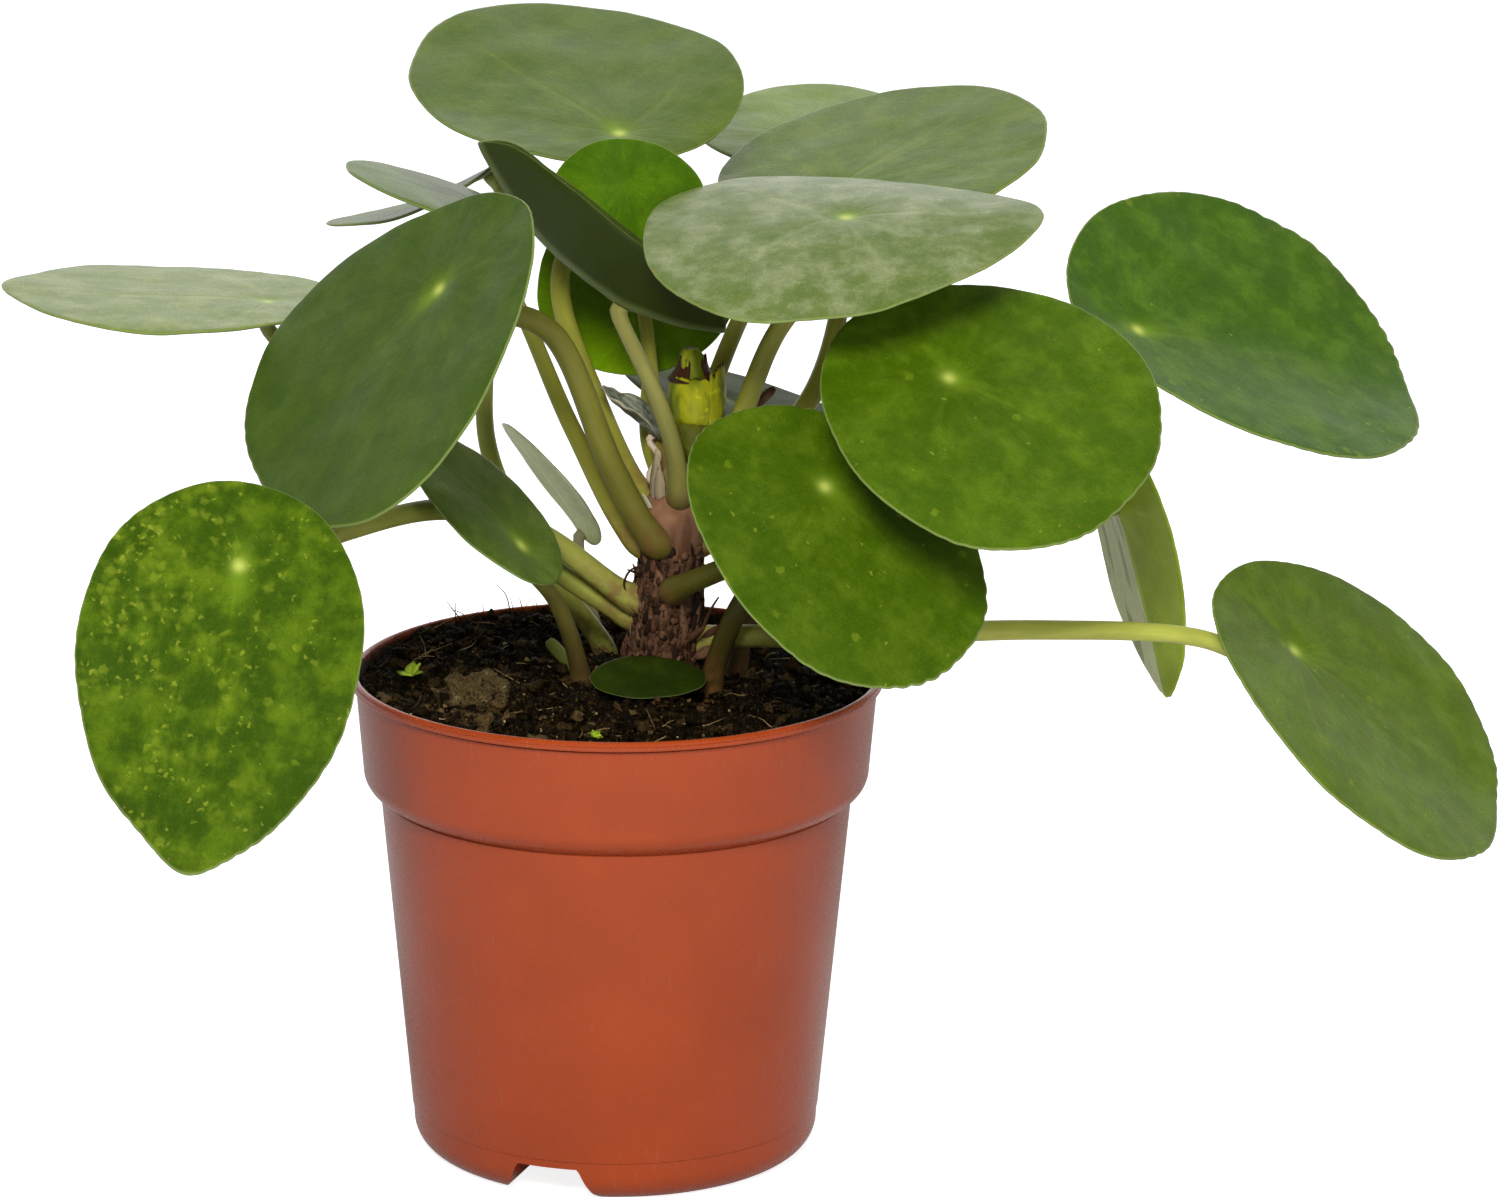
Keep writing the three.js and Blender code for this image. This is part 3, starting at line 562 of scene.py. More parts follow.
def lump(centre, size, rng, rough=0.35, sides=8, rows=5):
    """A small uneven clod."""
    spin = rng.uniform(0, TURN)
    shift = Vector((rng.uniform(0, 50), rng.uniform(0, 50), rng.uniform(0, 50)))
    points = []
    for k in range(rows + 1):
        b = math.pi * k / rows - math.pi / 2
        for i in range(sides):
            a = i / sides * TURN
            way = np.array((math.cos(b) * math.cos(a), math.cos(b) * math.sin(a), math.sin(b)))
            swell = 1 + rough * 2 * noise.noise(Vector(way * 1.3) + shift)
            x, y, z = way * np.array(size) / 2 * swell
            points.append((x * math.cos(spin) - y * math.sin(spin),
                           x * math.sin(spin) + y * math.cos(spin), z))
    return np.array(points) + np.array(centre), closed_rings(rows + 1, sides)


class Heap:
    """Gathers many small shapes for one mesh, each with a tone from 0, dark, to 1, light."""

    def __init__(self):
        self.points = []
        self.faces = []
        self.tones = []

    def add(self, points, faces, tone=0):
        """Adds one shape, with one tone or a tone for each point."""
        start = len(self.tones)
        self.points.append(points)
        self.faces.extend(tuple(start + i for i in face) for face in faces)
        self.tones.extend(np.broadcast_to(tone, len(points)).tolist())

    def all_points(self):
        """The points of all the shapes in one array."""
        return np.concatenate(self.points)

    def keep_in_pot(self):
        """Draws the points that would go through the pot's wall inwards."""
        points = self.all_points()
        far = np.hypot(points[:, 0], points[:, 1])
        limit = COLLAR_TOP_RADIUS - WALL - LITTER_GAP
        low = points[:, 2] < POT_HEIGHT + LITTER_GAP
        draw = np.where(low, np.minimum(1, limit / np.maximum(far, 1)), 1)
        self.points = [points * np.column_stack((draw, draw, np.ones(len(draw))))]

    def make(self, name, material, slot, nodes=()):
        """All the shapes in one finished piece."""
        piece(name, self.all_points(), self.faces, material, slot, nodes, tone=self.tones)


def new_object(name, points, faces):
    """A mesh object from points in millimetres, with every face of its closed shapes outwards."""
    mesh = bpy.data.meshes.new(name)
    mesh.from_pydata((np.asarray(points, float) * MM).tolist(), [], faces)
    work = bmesh.new()
    work.from_mesh(mesh)
    bmesh.ops.recalc_face_normals(work, faces=work.faces)
    work.to_mesh(mesh)
    work.free()
    return placed(name, mesh)


def placed(name, data):
    """A new object of the scene with that mesh, lamp or camera."""
    made = bpy.data.objects.new(name, data)
    bpy.context.scene.collection.objects.link(made)
    return made


def finish(made, material, nodes=()):
    """The piece gets its material, moves with the plant and stands for the CAD nodes."""
    made.data.materials.clear()
    made.data.materials.append(material)
    made.data.polygons.foreach_set("use_smooth", [True] * len(made.data.polygons))
    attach(made, "root")
    if nodes:
        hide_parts(*nodes)


def piece(name, points, faces, material, slot, nodes=(), **attributes):
    """A finished piece. attributes are values at its points, which its material reads."""
    made = new_object(name, points, faces)
    for label, values in attributes.items():
        values = np.asarray(values, np.float32)
        kind, field = ("FLOAT", "value") if values.ndim == 1 else ("FLOAT_VECTOR", "vector")
        made.data.attributes.new(label, kind, "POINT").data.foreach_set(field, values.ravel())
    finish(made, material, nodes)


def fill(tree, made, inputs):
    """Gives a node's sockets their values or links."""
    for key, value in inputs.items():
        socket = made.inputs[key]
        if isinstance(value, bpy.types.NodeSocket):
            tree.links.new(value, socket)
        elif socket.type == "RGBA":
            socket.default_value = (*value[:3], 1.0)
        else:
            socket.default_value = value
    return made


def node(tree, kind, inputs=None, **settings):
    """Adds a node. inputs gives its sockets values or links them."""
    made = tree.nodes.new(kind)
    for name, value in settings.items():
        setattr(made, name, value)
    return fill(tree, made, inputs or {})


def calc(tree, operation, a, b=0.0, c=0.0):
    """The output of a Math node."""
    return node(tree, "ShaderNodeMath", {0: a, 1: b, 2: c}, operation=operation).outputs[0]


def times(tree, a, b):
    """The product of two values."""
    return calc(tree, "MULTIPLY", a, b)


def ramp(tree, value, low, high, start=0.0, end=1.0):
    """start below low, end above high, and a smooth change between."""
    inputs = {"Value": value, "From Min": low, "From Max": high, "To Min": start, "To Max": end}
    return node(tree, "ShaderNodeMapRange", inputs, interpolation_type="SMOOTHSTEP").outputs[0]


def blend(tree, share, a, b, way="MIX"):
    """Colour a turning into colour b by the share."""
    return node(tree, "ShaderNodeMix", {0: share, 6: a, 7: b}, data_type="RGBA", blend_type=way).outputs[2]


def over(tree, colour, tint, mask, strength):
    """The colour with a tint laid over it where the mask is."""
    return blend(tree, times(tree, mask, strength), colour, tint)


def tinted(tree, colour, tint):
    """The colour multiplied by a tint."""
    return blend(tree, 1.0, colour, tint, "MULTIPLY")


def shade(colour, factor):
    """A fixed colour, lighter or darker by a factor."""
    return [c * factor for c in colour]


def clouds(tree, vector, size, detail=3.0, rough=0.55):
    """Noise with features of about size, in millimetres."""
    inputs = {"Vector": vector, "Scale": 1 / size, "Detail": detail, "Roughness": rough}
    return node(tree, "ShaderNodeTexNoise", inputs).outputs[0]


def vector_maths(tree, operation, *values):
    """The output of a Vector Math node."""
    inputs = dict(enumerate(values))
    return node(tree, "ShaderNodeVectorMath", inputs, operation=operation).outputs[0]


def scaled(tree, vector, x, y, z):
    """The vector with each axis multiplied by a number."""
    return vector_maths(tree, "MULTIPLY", vector, (x, y, z))


def split(tree, vector):
    """A vector's three values."""
    return node(tree, "ShaderNodeSeparateXYZ", {0: vector}).outputs


def joined(tree, x, y, z=0.0):
    """A vector from three values."""
    return node(tree, "ShaderNodeCombineXYZ", {0: x, 1: y, 2: z}).outputs[0]


def millimetres(tree):
    """Object coordinates in millimetres."""
    place = node(tree, "ShaderNodeTexCoord").outputs["Object"]
    return scaled(tree, place, METRE, METRE, METRE)


def attribute(tree, name, output="Vector"):
    """What a piece stores at its points under that name."""
    return node(tree, "ShaderNodeAttribute", attribute_name=name).outputs[output]


def group(name, inputs, outputs):
    """An empty node group with named sockets: (tree, its inputs, its output node)."""
    tree = bpy.data.node_groups.new(name, "ShaderNodeTree")
    kinds = {"colour": "NodeSocketColor", "value": "NodeSocketFloat", "vector": "NodeSocketVector"}
    for way, sockets in (("INPUT", inputs), ("OUTPUT", outputs)):
        for label, kind in sockets.items():
            tree.interface.new_socket(label, in_out=way, socket_type=kinds[kind])
    return tree, tree.nodes.new("NodeGroupInput").outputs, tree.nodes.new("NodeGroupOutput")


def use(tree, name, **inputs):
    """Places a node group, which is made on its first use."""
    made = tree.nodes.new("ShaderNodeGroup")
    made.node_tree = bpy.data.node_groups.get(name) or GROUPS[name](name)
    return fill(tree, made, inputs).outputs


def specks(tree, vector, size, spacing, amount):
    """Mask of the node group with the small dots."""
    return use(tree, "Specks", Vector=vector, Size=size, Spacing=spacing, Amount=amount)["Mask"]


def specks_group(name):
    """Small round dots, each in a cell of its own, on the share of the cells given by Amount."""
    tree, given, out = group(
        name, {"Vector": "vector", "Size": "value", "Spacing": "value", "Amount": "value"},
        {"Mask": "value"},
    )
    pitch = calc(tree, "DIVIDE", 1.0, given["Spacing"])
    found = node(tree, "ShaderNodeTexVoronoi", {"Vector": given["Vector"], "Scale": pitch})
    reach = times(tree, found.outputs["Distance"], given["Spacing"])
    near = calc(tree, "SUBTRACT", 1.0, calc(tree, "DIVIDE", reach, given["Size"]))
    chance = node(tree, "ShaderNodeSeparateColor", {0: found.outputs["Color"]}).outputs[0]
    kept = calc(tree, "LESS_THAN", chance, given["Amount"])
    fill(tree, out, {"Mask": times(tree, ramp(tree, near, 0.0, 0.6), kept)})
    return tree


def streaks_group(name):
    """Fine lengthwise fibres. Vector runs along its first axis, in millimetres."""
    tree, given, out = group(
        name, {"Vector": "vector", "Size": "value"}, {"Mask": "value", "Fine": "value"}
    )
    pitch = calc(tree, "DIVIDE", 1.0, given["Size"])
    slow = scaled(tree, given["Vector"], 0.08, 1, 1)
    broad = node(tree, "ShaderNodeTexNoise", {"Vector": slow, "Scale": pitch, "Detail": 2.0})
    fine = node(tree, "ShaderNodeTexNoise",
                {"Vector": slow, "Scale": times(tree, pitch, 4.0), "Detail": 3.0})
    fill(tree, out, {"Mask": ramp(tree, broad.outputs[0], 0.35, 0.65), "Fine": fine.outputs[0]})
    return tree


def grit_group(name):
    """Peat grit over a colour: golden, brown and mossy specks, and fine dark spots of painted shade as in
    tiny hollows.
    """
    tree, given, out = group(name, {"Vector": "vector", "Color": "colour"}, {"Color": "colour"})
    place = given["Vector"]
    colour = given["Color"]
    for size, spacing, amount, strength, tint in GRIT:
        colour = over(tree, colour, tint, specks(tree, place, size, spacing, amount), strength)
    # Painted shade: fine dark spots that stand for the shade in tiny hollows between grains
    hollow_shade = ramp(tree, clouds(tree, place, 0.5, 3, 0.7), 0.48, 0.4)
    colour = over(tree, colour, (0.003, 0.0015, 0.001), hollow_shade, 0.85)
    fill(tree, out, {"Color": colour})
    return tree


def leaf_group(name):
    """A pilea blade: clouds, cells, painted shade in its creases, veins from the stalk's end, pale dot,
    spots, specks and rim.
    """
    tree, given, out = group(
        name,
        {"Place": "vector", "Below": "value", "Green": "colour", "Light": "colour",
         "Under": "colour", "Cloud": "value", "Spots": "value", "Veins": "value",
         "Glow": "value", "Rough": "value", "Seed": "value", "Half": "colour", "Turn": "value"},
        {"Color": "colour", "Roughness": "value", "Height": "value"},
    )
    u, v, reach = split(tree, given["Place"])
    shift = joined(tree, given["Seed"], given["Seed"])
    flat = scaled(tree, vector_maths(tree, "ADD", given["Place"], shift), 1, 1, 0)
    far = calc(tree, "SQRT", calc(tree, "ADD", times(tree, u, u), times(tree, v, v)))
    veins = times(tree, leaf_veins(tree, u, v, far, reach, flat), given["Veins"])
    apart = calc(tree, "MAXIMUM", far, 1.0)
    spokes = joined(tree, calc(tree, "DIVIDE", u, apart), calc(tree, "DIVIDE", v, apart),
                    times(tree, far, 0.02))
    creases = clouds(tree, spokes, 0.16, 4, 0.65)

    colour = leaf_greens(tree, given, flat)
    # Painted shade: the colour turns darker and duller where the creases sink low in the relief
    crease_shade_colour = tinted(tree, colour, (0.74, 0.8, 0.7))
    colour = blend(tree, ramp(tree, creases, 0.62, 0.36, 0.0, 0.6), colour, crease_shade_colour)
    colour = blend(tree, veins, colour, tinted(tree, colour, (1.5, 1.36, 1.6)))
    colour = leaf_spots(tree, given, flat, v, colour)
    colour = leaf_glow(tree, given, u, v, far, colour)
    colour = over(tree, colour, (0.3, 0.36, 0.2), specks(tree, flat, 0.16, 1.6, 0.3), 0.5)
    torn = ramp(tree, clouds(tree, flat, 4.5, 4, 0.7), 0.64, 0.68)
    scar = times(tree, ramp(tree, reach, 0.93, 0.99), torn)
    colour = blend(tree, scar, colour, (0.22, 0.12, 0.045))
    colour = over(tree, colour, (0.2, 0.25, 0.07), ramp(tree, reach, 0.986, 0.997), 0.7)
    colour = blend(tree, given["Below"], colour, leaf_underside(tree, given, flat, v, veins))

    grain = clouds(tree, flat, 0.55, 2, 0.6)
    rough = calc(tree, "ADD", given["Rough"], ramp(tree, grain, 0.3, 0.7, -0.05, 0.08))
    height = calc(tree, "MULTIPLY_ADD", grain, 0.45, times(tree, veins, -0.3))
    height = calc(tree, "ADD", height, times(tree, clouds(tree, flat, 2.4, 2), 0.9))
    height = calc(tree, "ADD", height, times(tree, creases, ramp(tree, far, 0.0, 18.0, 0.0, 2.4)))
    fill(tree, out, {"Color": colour, "Roughness": rough, "Height": height})
    return tree


def leaf_greens(tree, given, flat):
    """The blade's green: broad clouds, finer mist and a fine dark grain."""
    cloud = ramp(tree, clouds(tree, flat, 10, 3, 0.62), 0.4, 0.68)
    mist = ramp(tree, clouds(tree, flat, 2.8, 3, 0.6), 0.45, 0.75)
    share = times(tree, cloud, given["Cloud"])
    share = calc(tree, "MULTIPLY_ADD", mist, times(tree, given["Cloud"], 0.35), share)
    colour = blend(tree, share, given["Green"], given["Light"])
    dark = tinted(tree, colour, (0.6, 0.66, 0.5))
    return blend(tree, ramp(tree, clouds(tree, flat, 0.5, 2, 0.6), 0.38, 0.7, 0.0, 0.6), colour, dark)


def leaf_veins(tree, u, v, far, reach, flat):
    """Mask of the veins: ribs that spread from the stalk's end, the midrib and a fine net."""
    way = calc(tree, "ARCTAN2", v, u)
    arch = calc(tree, "MULTIPLY_ADD", far, 1 / VEIN_ARCH, 1.0)
    wobble = calc(tree, "MULTIPLY_ADD", clouds(tree, flat, 9, 1), 0.24, -0.12)
    turn = calc(tree, "MULTIPLY_ADD", way, arch, wobble)
    wave = calc(tree, "COSINE", times(tree, turn, VEIN_COUNT))
    width = calc(tree, "DIVIDE", 1.0, calc(tree, "MAXIMUM", far, 2.5))
    line = ramp(tree, calc(tree, "DIVIDE", calc(tree, "SUBTRACT", 1.0, wave), width), 0.9, 0.0)
    fade = times(tree, ramp(tree, far, 3.0, 9.0), ramp(tree, reach, 0.9, 0.4))
    net = node(tree, "ShaderNodeTexVoronoi", {"Vector": flat, "Scale": 0.22}, feature="DISTANCE_TO_EDGE")
    net_line = ramp(tree, net.outputs["Distance"], 0.07, 0.0, 0.0, 0.25)
    veins = calc(tree, "MAXIMUM", times(tree, times(tree, line, fade), 0.6), net_line)
    rib = times(tree, ramp(tree, calc(tree, "ABSOLUTE", v), 1.0, 0.1), ramp(tree, u, 4.0, 10.0))
    return calc(tree, "MAXIMUM", veins, times(tree, rib, ramp(tree, reach, 0.97, 0.5)))


def leaf_spots(tree, given, flat, v, colour):
    """Soft yellow spots in drifts, most of them on one half of the blade."""
    spread = times(tree, ramp(tree, clouds(tree, flat, 14, 1), 0.38, 0.6), given["Spots"])
    spread = times(tree, spread, ramp(tree, v, -8.0, 14.0, 1.0, 0.2))
    drift = node(tree, "ShaderNodeTexNoise", {"Vector": flat, "Scale": 0.8, "Detail": 3.0})
    bent = vector_maths(tree, "MULTIPLY_ADD", drift.outputs["Color"], (2.4, 2.4, 0), flat)
    haze = times(tree, ramp(tree, clouds(tree, flat, 5, 3), 0.45, 0.7), spread)
    colour = over(tree, colour, (0.17, 0.24, 0.012), haze, 0.5)
    colour = over(tree, colour, (0.24, 0.31, 0.02), specks(tree, bent, 1.5, 3.1, spread), 0.3)
    return over(tree, colour, (0.3, 0.35, 0.03), specks(tree, bent, 0.55, 1.6, spread), 0.42)


def leaf_glow(tree, given, u, v, far, colour):
    """The pale glow over the stalk's end, drawn out along the midrib, with its paler core."""
    long = calc(tree, "SUBTRACT", u, times(tree, given["Glow"], 0.25))
    long = calc(tree, "DIVIDE", long, given["Glow"])
    wide = calc(tree, "DIVIDE", v, 2.4)
    spot = calc(tree, "ADD", times(tree, long, long), times(tree, wide, wide))
    present = ramp(tree, given["Glow"], 0.5, 2.0)
    glow = times(tree, calc(tree, "EXPONENT", times(tree, spot, -0.8)), present)
    colour = over(tree, colour, (0.17, 0.28, 0.012), glow, 0.6)
    near = calc(tree, "DIVIDE", far, 1.7)
    core = calc(tree, "EXPONENT", times(tree, times(tree, near, near), -1.3))
    return blend(tree, times(tree, core, present), colour, (0.42, 0.48, 0.09))


def leaf_underside(tree, given, flat, v, veins):
    """The underside's own green and pale veins, with one half in a colour of its own that paints sheen on
    the hanging leaf and shade on the folded leaf.
    """
    mottled = ramp(tree, clouds(tree, flat, 8, 3), 0.3, 0.75, 0.0, 0.4)
    lower = blend(tree, mottled, given["Under"], given["Green"])
    # Painted shade: darker copies of the half's colour in long streaks, like shaded creases
    underside_crease_shade = tinted(tree, given["Half"], (0.35, 0.4, 0.25))
    long_clouds = clouds(tree, scaled(tree, flat, 0.12, 1, 1), 3, 2)
    crease = times(tree, ramp(tree, long_clouds, 0.46, 0.36, 0.0, 0.7), given["Cloud"])
    half = blend(tree, crease, given["Half"], underside_crease_shade)
    # One side of the midrib takes the half's colour, with the painted light and shade in it
    lower = blend(tree, ramp(tree, times(tree, v, given["Turn"]), 0.4, 1.0), lower, half)
    return over(tree, lower, tinted(tree, lower, (1.5, 1.5, 1.5)), veins, 0.8)


GROUPS = {
    "Specks": specks_group, "Streaks": streaks_group, "Grit": grit_group, "Pilea blade": leaf_group,
}


def blank(name):
    """A new material and its empty node tree."""
    material = bpy.data.materials.new(name)
    material.use_nodes = True
    material.node_tree.nodes.clear()
    return material, material.node_tree


def surface(material, colour, rough, height=None, depth=0.1, strength=0.5, **sockets):
    """Gives the material its Principled shader, with a relief as deep as depth in millimetres."""
    tree = material.node_tree
    inputs = {"Base Color": colour, "Roughness": rough}
    inputs.update((key.replace("_", " "), value) for key, value in sockets.items())
    if height is not None:
        relief = {"Height": height, "Strength": strength, "Distance": depth * MM}
        inputs["Normal"] = node(tree, "ShaderNodeBump", relief).outputs[0]
    shader = node(tree, "ShaderNodeBsdfPrincipled", inputs)
    node(tree, "ShaderNodeOutputMaterial", {"Surface": shader.outputs[0]})
    return material


def look_of(leaf):
    """A leaf's line in the table of looks, with the plain look where it says nothing."""
    return {**PLAIN_LOOK, **LOOKS[leaf["name"]]}


def leaf_material(leaf):
    """A blade's material, from its line in the table of looks."""
    look = look_of(leaf)
    material, tree = blank(f"leaf_{leaf['name']}")
    shared = ("green", "light", "under", "cloud", "spots", "veins", "glow", "rough", "half", "turn")
    made = use(tree, "Pilea blade", Place=attribute(tree, "blade_place"),
               Below=attribute(tree, "below", "Fac"),
               Seed=float(7 * len(leaf["name"]) + leaf["length"]),
               **{key.capitalize(): look[key] for key in shared})
    return surface(material, made["Color"], made["Roughness"], made["Height"], strength=0.6,
                   Specular_IOR_Level=LEAF_SHINE, Subsurface_Weight=look["thin"],
                   Subsurface_Scale=THROUGH_LEAF, Subsurface_Radius=THROUGH_LEAF_TINTS)


def stalk_material(name, root, top):
    """Smooth stalk, from its colour at the root to that at the blade, with fine streaks."""
    material, tree = blank(name)
    place = millimetres(tree)
    streaks = use(tree, "Streaks", Vector=attribute(tree, "stem_place"), Size=0.9)
    share = attribute(tree, "stem_share", "Fac")
    colour = blend(tree, ramp(tree, share, 0.02, 0.7), root, top)
    colour = over(tree, colour, tinted(tree, colour, (1.35, 1.35, 1.5)), streaks["Mask"], 0.45)
    foot = times(tree, ramp(tree, share, 0.24, 0.06), ramp(tree, clouds(tree, place, 3), 0.3, 0.65))
    colour = over(tree, colour, (0.17, 0.07, 0.03), foot, 0.75)
    colour = over(tree, colour, (0.4, 0.38, 0.2), specks(tree, place, 0.16, 1.3, 0.4), 0.5)
    return surface(material, colour, 0.42, streaks["Fine"], depth=0.08, Specular_IOR_Level=LEAF_SHINE)


def pot_material(colour):
    """Moulded plastic with a fine grain, faint scuffs, dust, dark specks, and soil with painted shade
    inside the rim.
    """
    material, tree = blank("pot_plastic")
    place = millimetres(tree)
    grain = clouds(tree, place, 0.5, 2)
    patch = clouds(tree, place, 26, 2)
    upright = clouds(tree, scaled(tree, place, 1, 1, 0.08), 0.9, 3)
    worn = ramp(tree, clouds(tree, place, 12, 2), 0.54, 0.68)
    scuffed = times(tree, ramp(tree, upright, 0.58, 0.7), worn)
    tone = blend(tree, ramp(tree, patch, 0.3, 0.7), shade(colour, 0.95), shade(colour, 1.05))
    tone = blend(tree, ramp(tree, grain, 0.35, 0.75, 0.0, 0.2), tone, shade(colour, 0.7))
    tone = over(tree, tone, (0.5, 0.3, 0.22), scuffed, 0.09)
    tone = over(tree, tone, (0.6, 0.3, 0.2), specks(tree, place, 0.17, 3.4, 0.3), 0.4)
    tone = over(tree, tone, (0.14, 0.03, 0.012), specks(tree, place, 0.2, 2.4, 0.35), 0.35)
    soil_and_shade = inner_soil_and_shade(tree, place)
    # Soil and painted shade: the inside of the collar over the peat turns almost black
    tone = blend(tree, soil_and_shade, tone, (0.02, 0.011, 0.005))
    rough = calc(tree, "MULTIPLY_ADD", scuffed, 0.2, ramp(tree, grain, 0.3, 0.7, 0.22, 0.3))
    rough = calc(tree, "MULTIPLY_ADD", soil_and_shade, 0.5, rough)
    height = calc(tree, "MULTIPLY_ADD", patch, 0.6, grain)
    return surface(material, tone, rough, height, depth=0.04, Specular_IOR_Level=PLASTIC_SHINE)


def inner_soil_and_shade(tree, place):
    """Mask of the soil and painted shade on the inside of the collar, with an uneven upper edge."""
    far = node(tree, "ShaderNodeVectorMath", {0: scaled(tree, place, 1, 1, 0)}, operation="LENGTH")
    high = split(tree, place)[2]
    groove = POT_HEIGHT - RIM_BEAD
    slant = (COLLAR_TOP_RADIUS - COLLAR_LOW_RADIUS) / (groove - COLLAR_BOTTOM - COLLAR_ROUND)
    wall = calc(tree, "MULTIPLY_ADD", high, slant, COLLAR_TOP_RADIUS - slant * groove)
    inner = ramp(tree, calc(tree, "SUBTRACT", wall, far.outputs["Value"]), 0.75, 0.95)
    below = calc(tree, "SUBTRACT", POT_HEIGHT - INNER_DARK_DROP, high)
    ragged = calc(tree, "MULTIPLY_ADD", clouds(tree, place, 2.2, 4, 0.65), 6.0, below)
    return times(tree, times(tree, ramp(tree, ragged, -1.0, 1.0), inner), ramp(tree, high, 98.0, 102.0))


def tone_material(name, dark, middle, light, size, rough=0.85, depth=0.3, gritty=False):
    """A rough brown matter whose shade follows each grain's own tone, with finer changes on top."""
    material, tree = blank(name)
    place = millimetres(tree)
    fine = clouds(tree, place, size, 4, 0.65)
    tone = calc(tree, "SUBTRACT", attribute(tree, "tone", "Fac"), 0.3)
    mixed = calc(tree, "MULTIPLY_ADD", fine, 0.6, tone)
    colour = blend(tree, ramp(tree, mixed, 0.1, 0.6), dark, middle)
    colour = blend(tree, ramp(tree, mixed, 0.6, 1.0), colour, light)
    if gritty:
        colour = use(tree, "Grit", Vector=place, Color=colour)["Color"]
    return surface(material, colour, rough, fine, depth, 0.8, Specular_IOR_Level=EARTH_SHINE)


def soil_material():
    """Moist dark peat with brown and green-brown patches, with painted shade in its hollows."""
    material, tree = blank("peat")
    place = millimetres(tree)
    fine = clouds(tree, place, 0.7, 5, 0.72)
    broad = ramp(tree, clouds(tree, place, 6, 4, 0.65), 0.5, 0.64)
    high = attribute(tree, "tone", "Fac")
    colour = blend(tree, ramp(tree, fine, 0.42, 0.7), (0.007, 0.005, 0.002), (0.075, 0.045, 0.016))
    colour = over(tree, colour, (0.1, 0.062, 0.02), broad, 0.55)
    wet = ramp(tree, clouds(tree, place, 1.6, 3), 0.58, 0.5, 0.0, 0.8)
    colour = blend(tree, wet, colour, (0.006, 0.003, 0.0015))
    # Painted shade: the peat turns almost black where its clodded surface sinks below the smooth one
    colour = blend(tree, ramp(tree, high, 0.5, 0.05, 0.0, 0.95), colour, (0.003, 0.002, 0.001))
    moss = ramp(tree, clouds(tree, place, 5, 4, 0.7), 0.62, 0.7)
    colour = over(tree, colour, (0.05, 0.06, 0.01), moss, 0.45)
    colour = use(tree, "Grit", Vector=place, Color=colour)["Color"]
    rough = ramp(tree, clouds(tree, place, 3, 3), 0.35, 0.65, 0.5, 0.9)
    height = calc(tree, "MULTIPLY_ADD", clouds(tree, place, 0.35, 3), 0.4, fine)
    return surface(material, colour, rough, height, 0.7, 1.0, Specular_IOR_Level=EARTH_SHINE)


def trunk_material():
    """Dark fibrous bark that turns into a pinkish, smooth swelling at the top, paler towards its top,
    partly in its own colour and partly with a painted highlight.
    """
    material, tree = blank("bark")
    place = millimetres(tree)
    upright = scaled(tree, place, 1, 1, 0.22)
    fibres = clouds(tree, upright, 0.8, 5, 0.72)
    plates = ramp(tree, clouds(tree, upright, 2.6, 3, 0.6), 0.5, 0.64)
    pits = ramp(tree, clouds(tree, place, 1.3, 3, 0.7), 0.46, 0.38)
    colour = blend(tree, ramp(tree, fibres, 0.36, 0.62), (0.022, 0.012, 0.007), (0.13, 0.062, 0.032))
    colour = over(tree, colour, (0.2, 0.1, 0.055), plates, 0.6)
    colour = blend(tree, pits, colour, (0.012, 0.006, 0.004))

    height = split(tree, place)[2]
    edge = calc(tree, "MULTIPLY_ADD", clouds(tree, place, 3.5, 3), 7.0, calc(tree, "SUBTRACT", height, 3.5))
    young = ramp(tree, edge, BARK_TOP - 0.7, BARK_TOP + 0.7)
    flush = ramp(tree, clouds(tree, upright, 2.4, 3), 0.38, 0.62)
    skin = blend(tree, flush, (0.09, 0.036, 0.016), (0.17, 0.08, 0.042))
    # Cream patches that grow towards the top of the swelling: partly its own pale skin, partly a painted
    # highlight
    cream = ramp(tree, clouds(tree, place, 5, 1), 0.3, 0.7, 0.3)
    cream = times(tree, cream, ramp(tree, height, 141.0, 150.0))
    skin = over(tree, skin, (0.3, 0.16, 0.085), cream, 0.8)
    skin = blend(tree, ramp(tree, height, 153.0, 157.0), skin, (0.2, 0.18, 0.05))
    lines = ramp(tree, clouds(tree, upright, 0.7, 2), 0.58, 0.75, 0.0, 0.5)
    skin = blend(tree, lines, skin, (0.12, 0.04, 0.02))
    colour = blend(tree, young, colour, skin)
    rough = ramp(tree, young, 0.0, 1.0, 0.8, 0.42)
    relief = times(tree, fibres, calc(tree, "SUBTRACT", 1.1, young))
    return surface(material, colour, rough, relief, 0.7, 0.9, Specular_IOR_Level=BARK_SHINE)


def bud_material(name, low, high, mark, dry_from):
    """Waxy bud scale with darker streaks, dry and brown from the share dry_from of its height."""
    material, tree = blank(name)
    place = millimetres(tree)
    share = attribute(tree, "tone", "Fac")
    upright = scaled(tree, place, 1, 1, 0.4)
    colour = blend(tree, ramp(tree, clouds(tree, upright, 4.2, 2), 0.38, 0.62), low, high)
    light = ramp(tree, clouds(tree, place, 3.4, 2), 0.56, 0.66)
    colour = over(tree, colour, shade(high, 1.7), light, 0.5)
    colour = over(tree, colour, mark, ramp(tree, clouds(tree, upright, 0.7, 3), 0.56, 0.7), 0.22)
    edge = calc(tree, "MULTIPLY_ADD", clouds(tree, place, 2, 2), 0.1, calc(tree, "SUBTRACT", share, 0.05))
    colour = blend(tree, ramp(tree, edge, dry_from, dry_from + 0.05), colour, (0.04, 0.014, 0.006))
    return surface(material, colour, 0.38, clouds(tree, upright, 0.8, 3), 0.15,
                   Specular_IOR_Level=LEAF_SHINE)


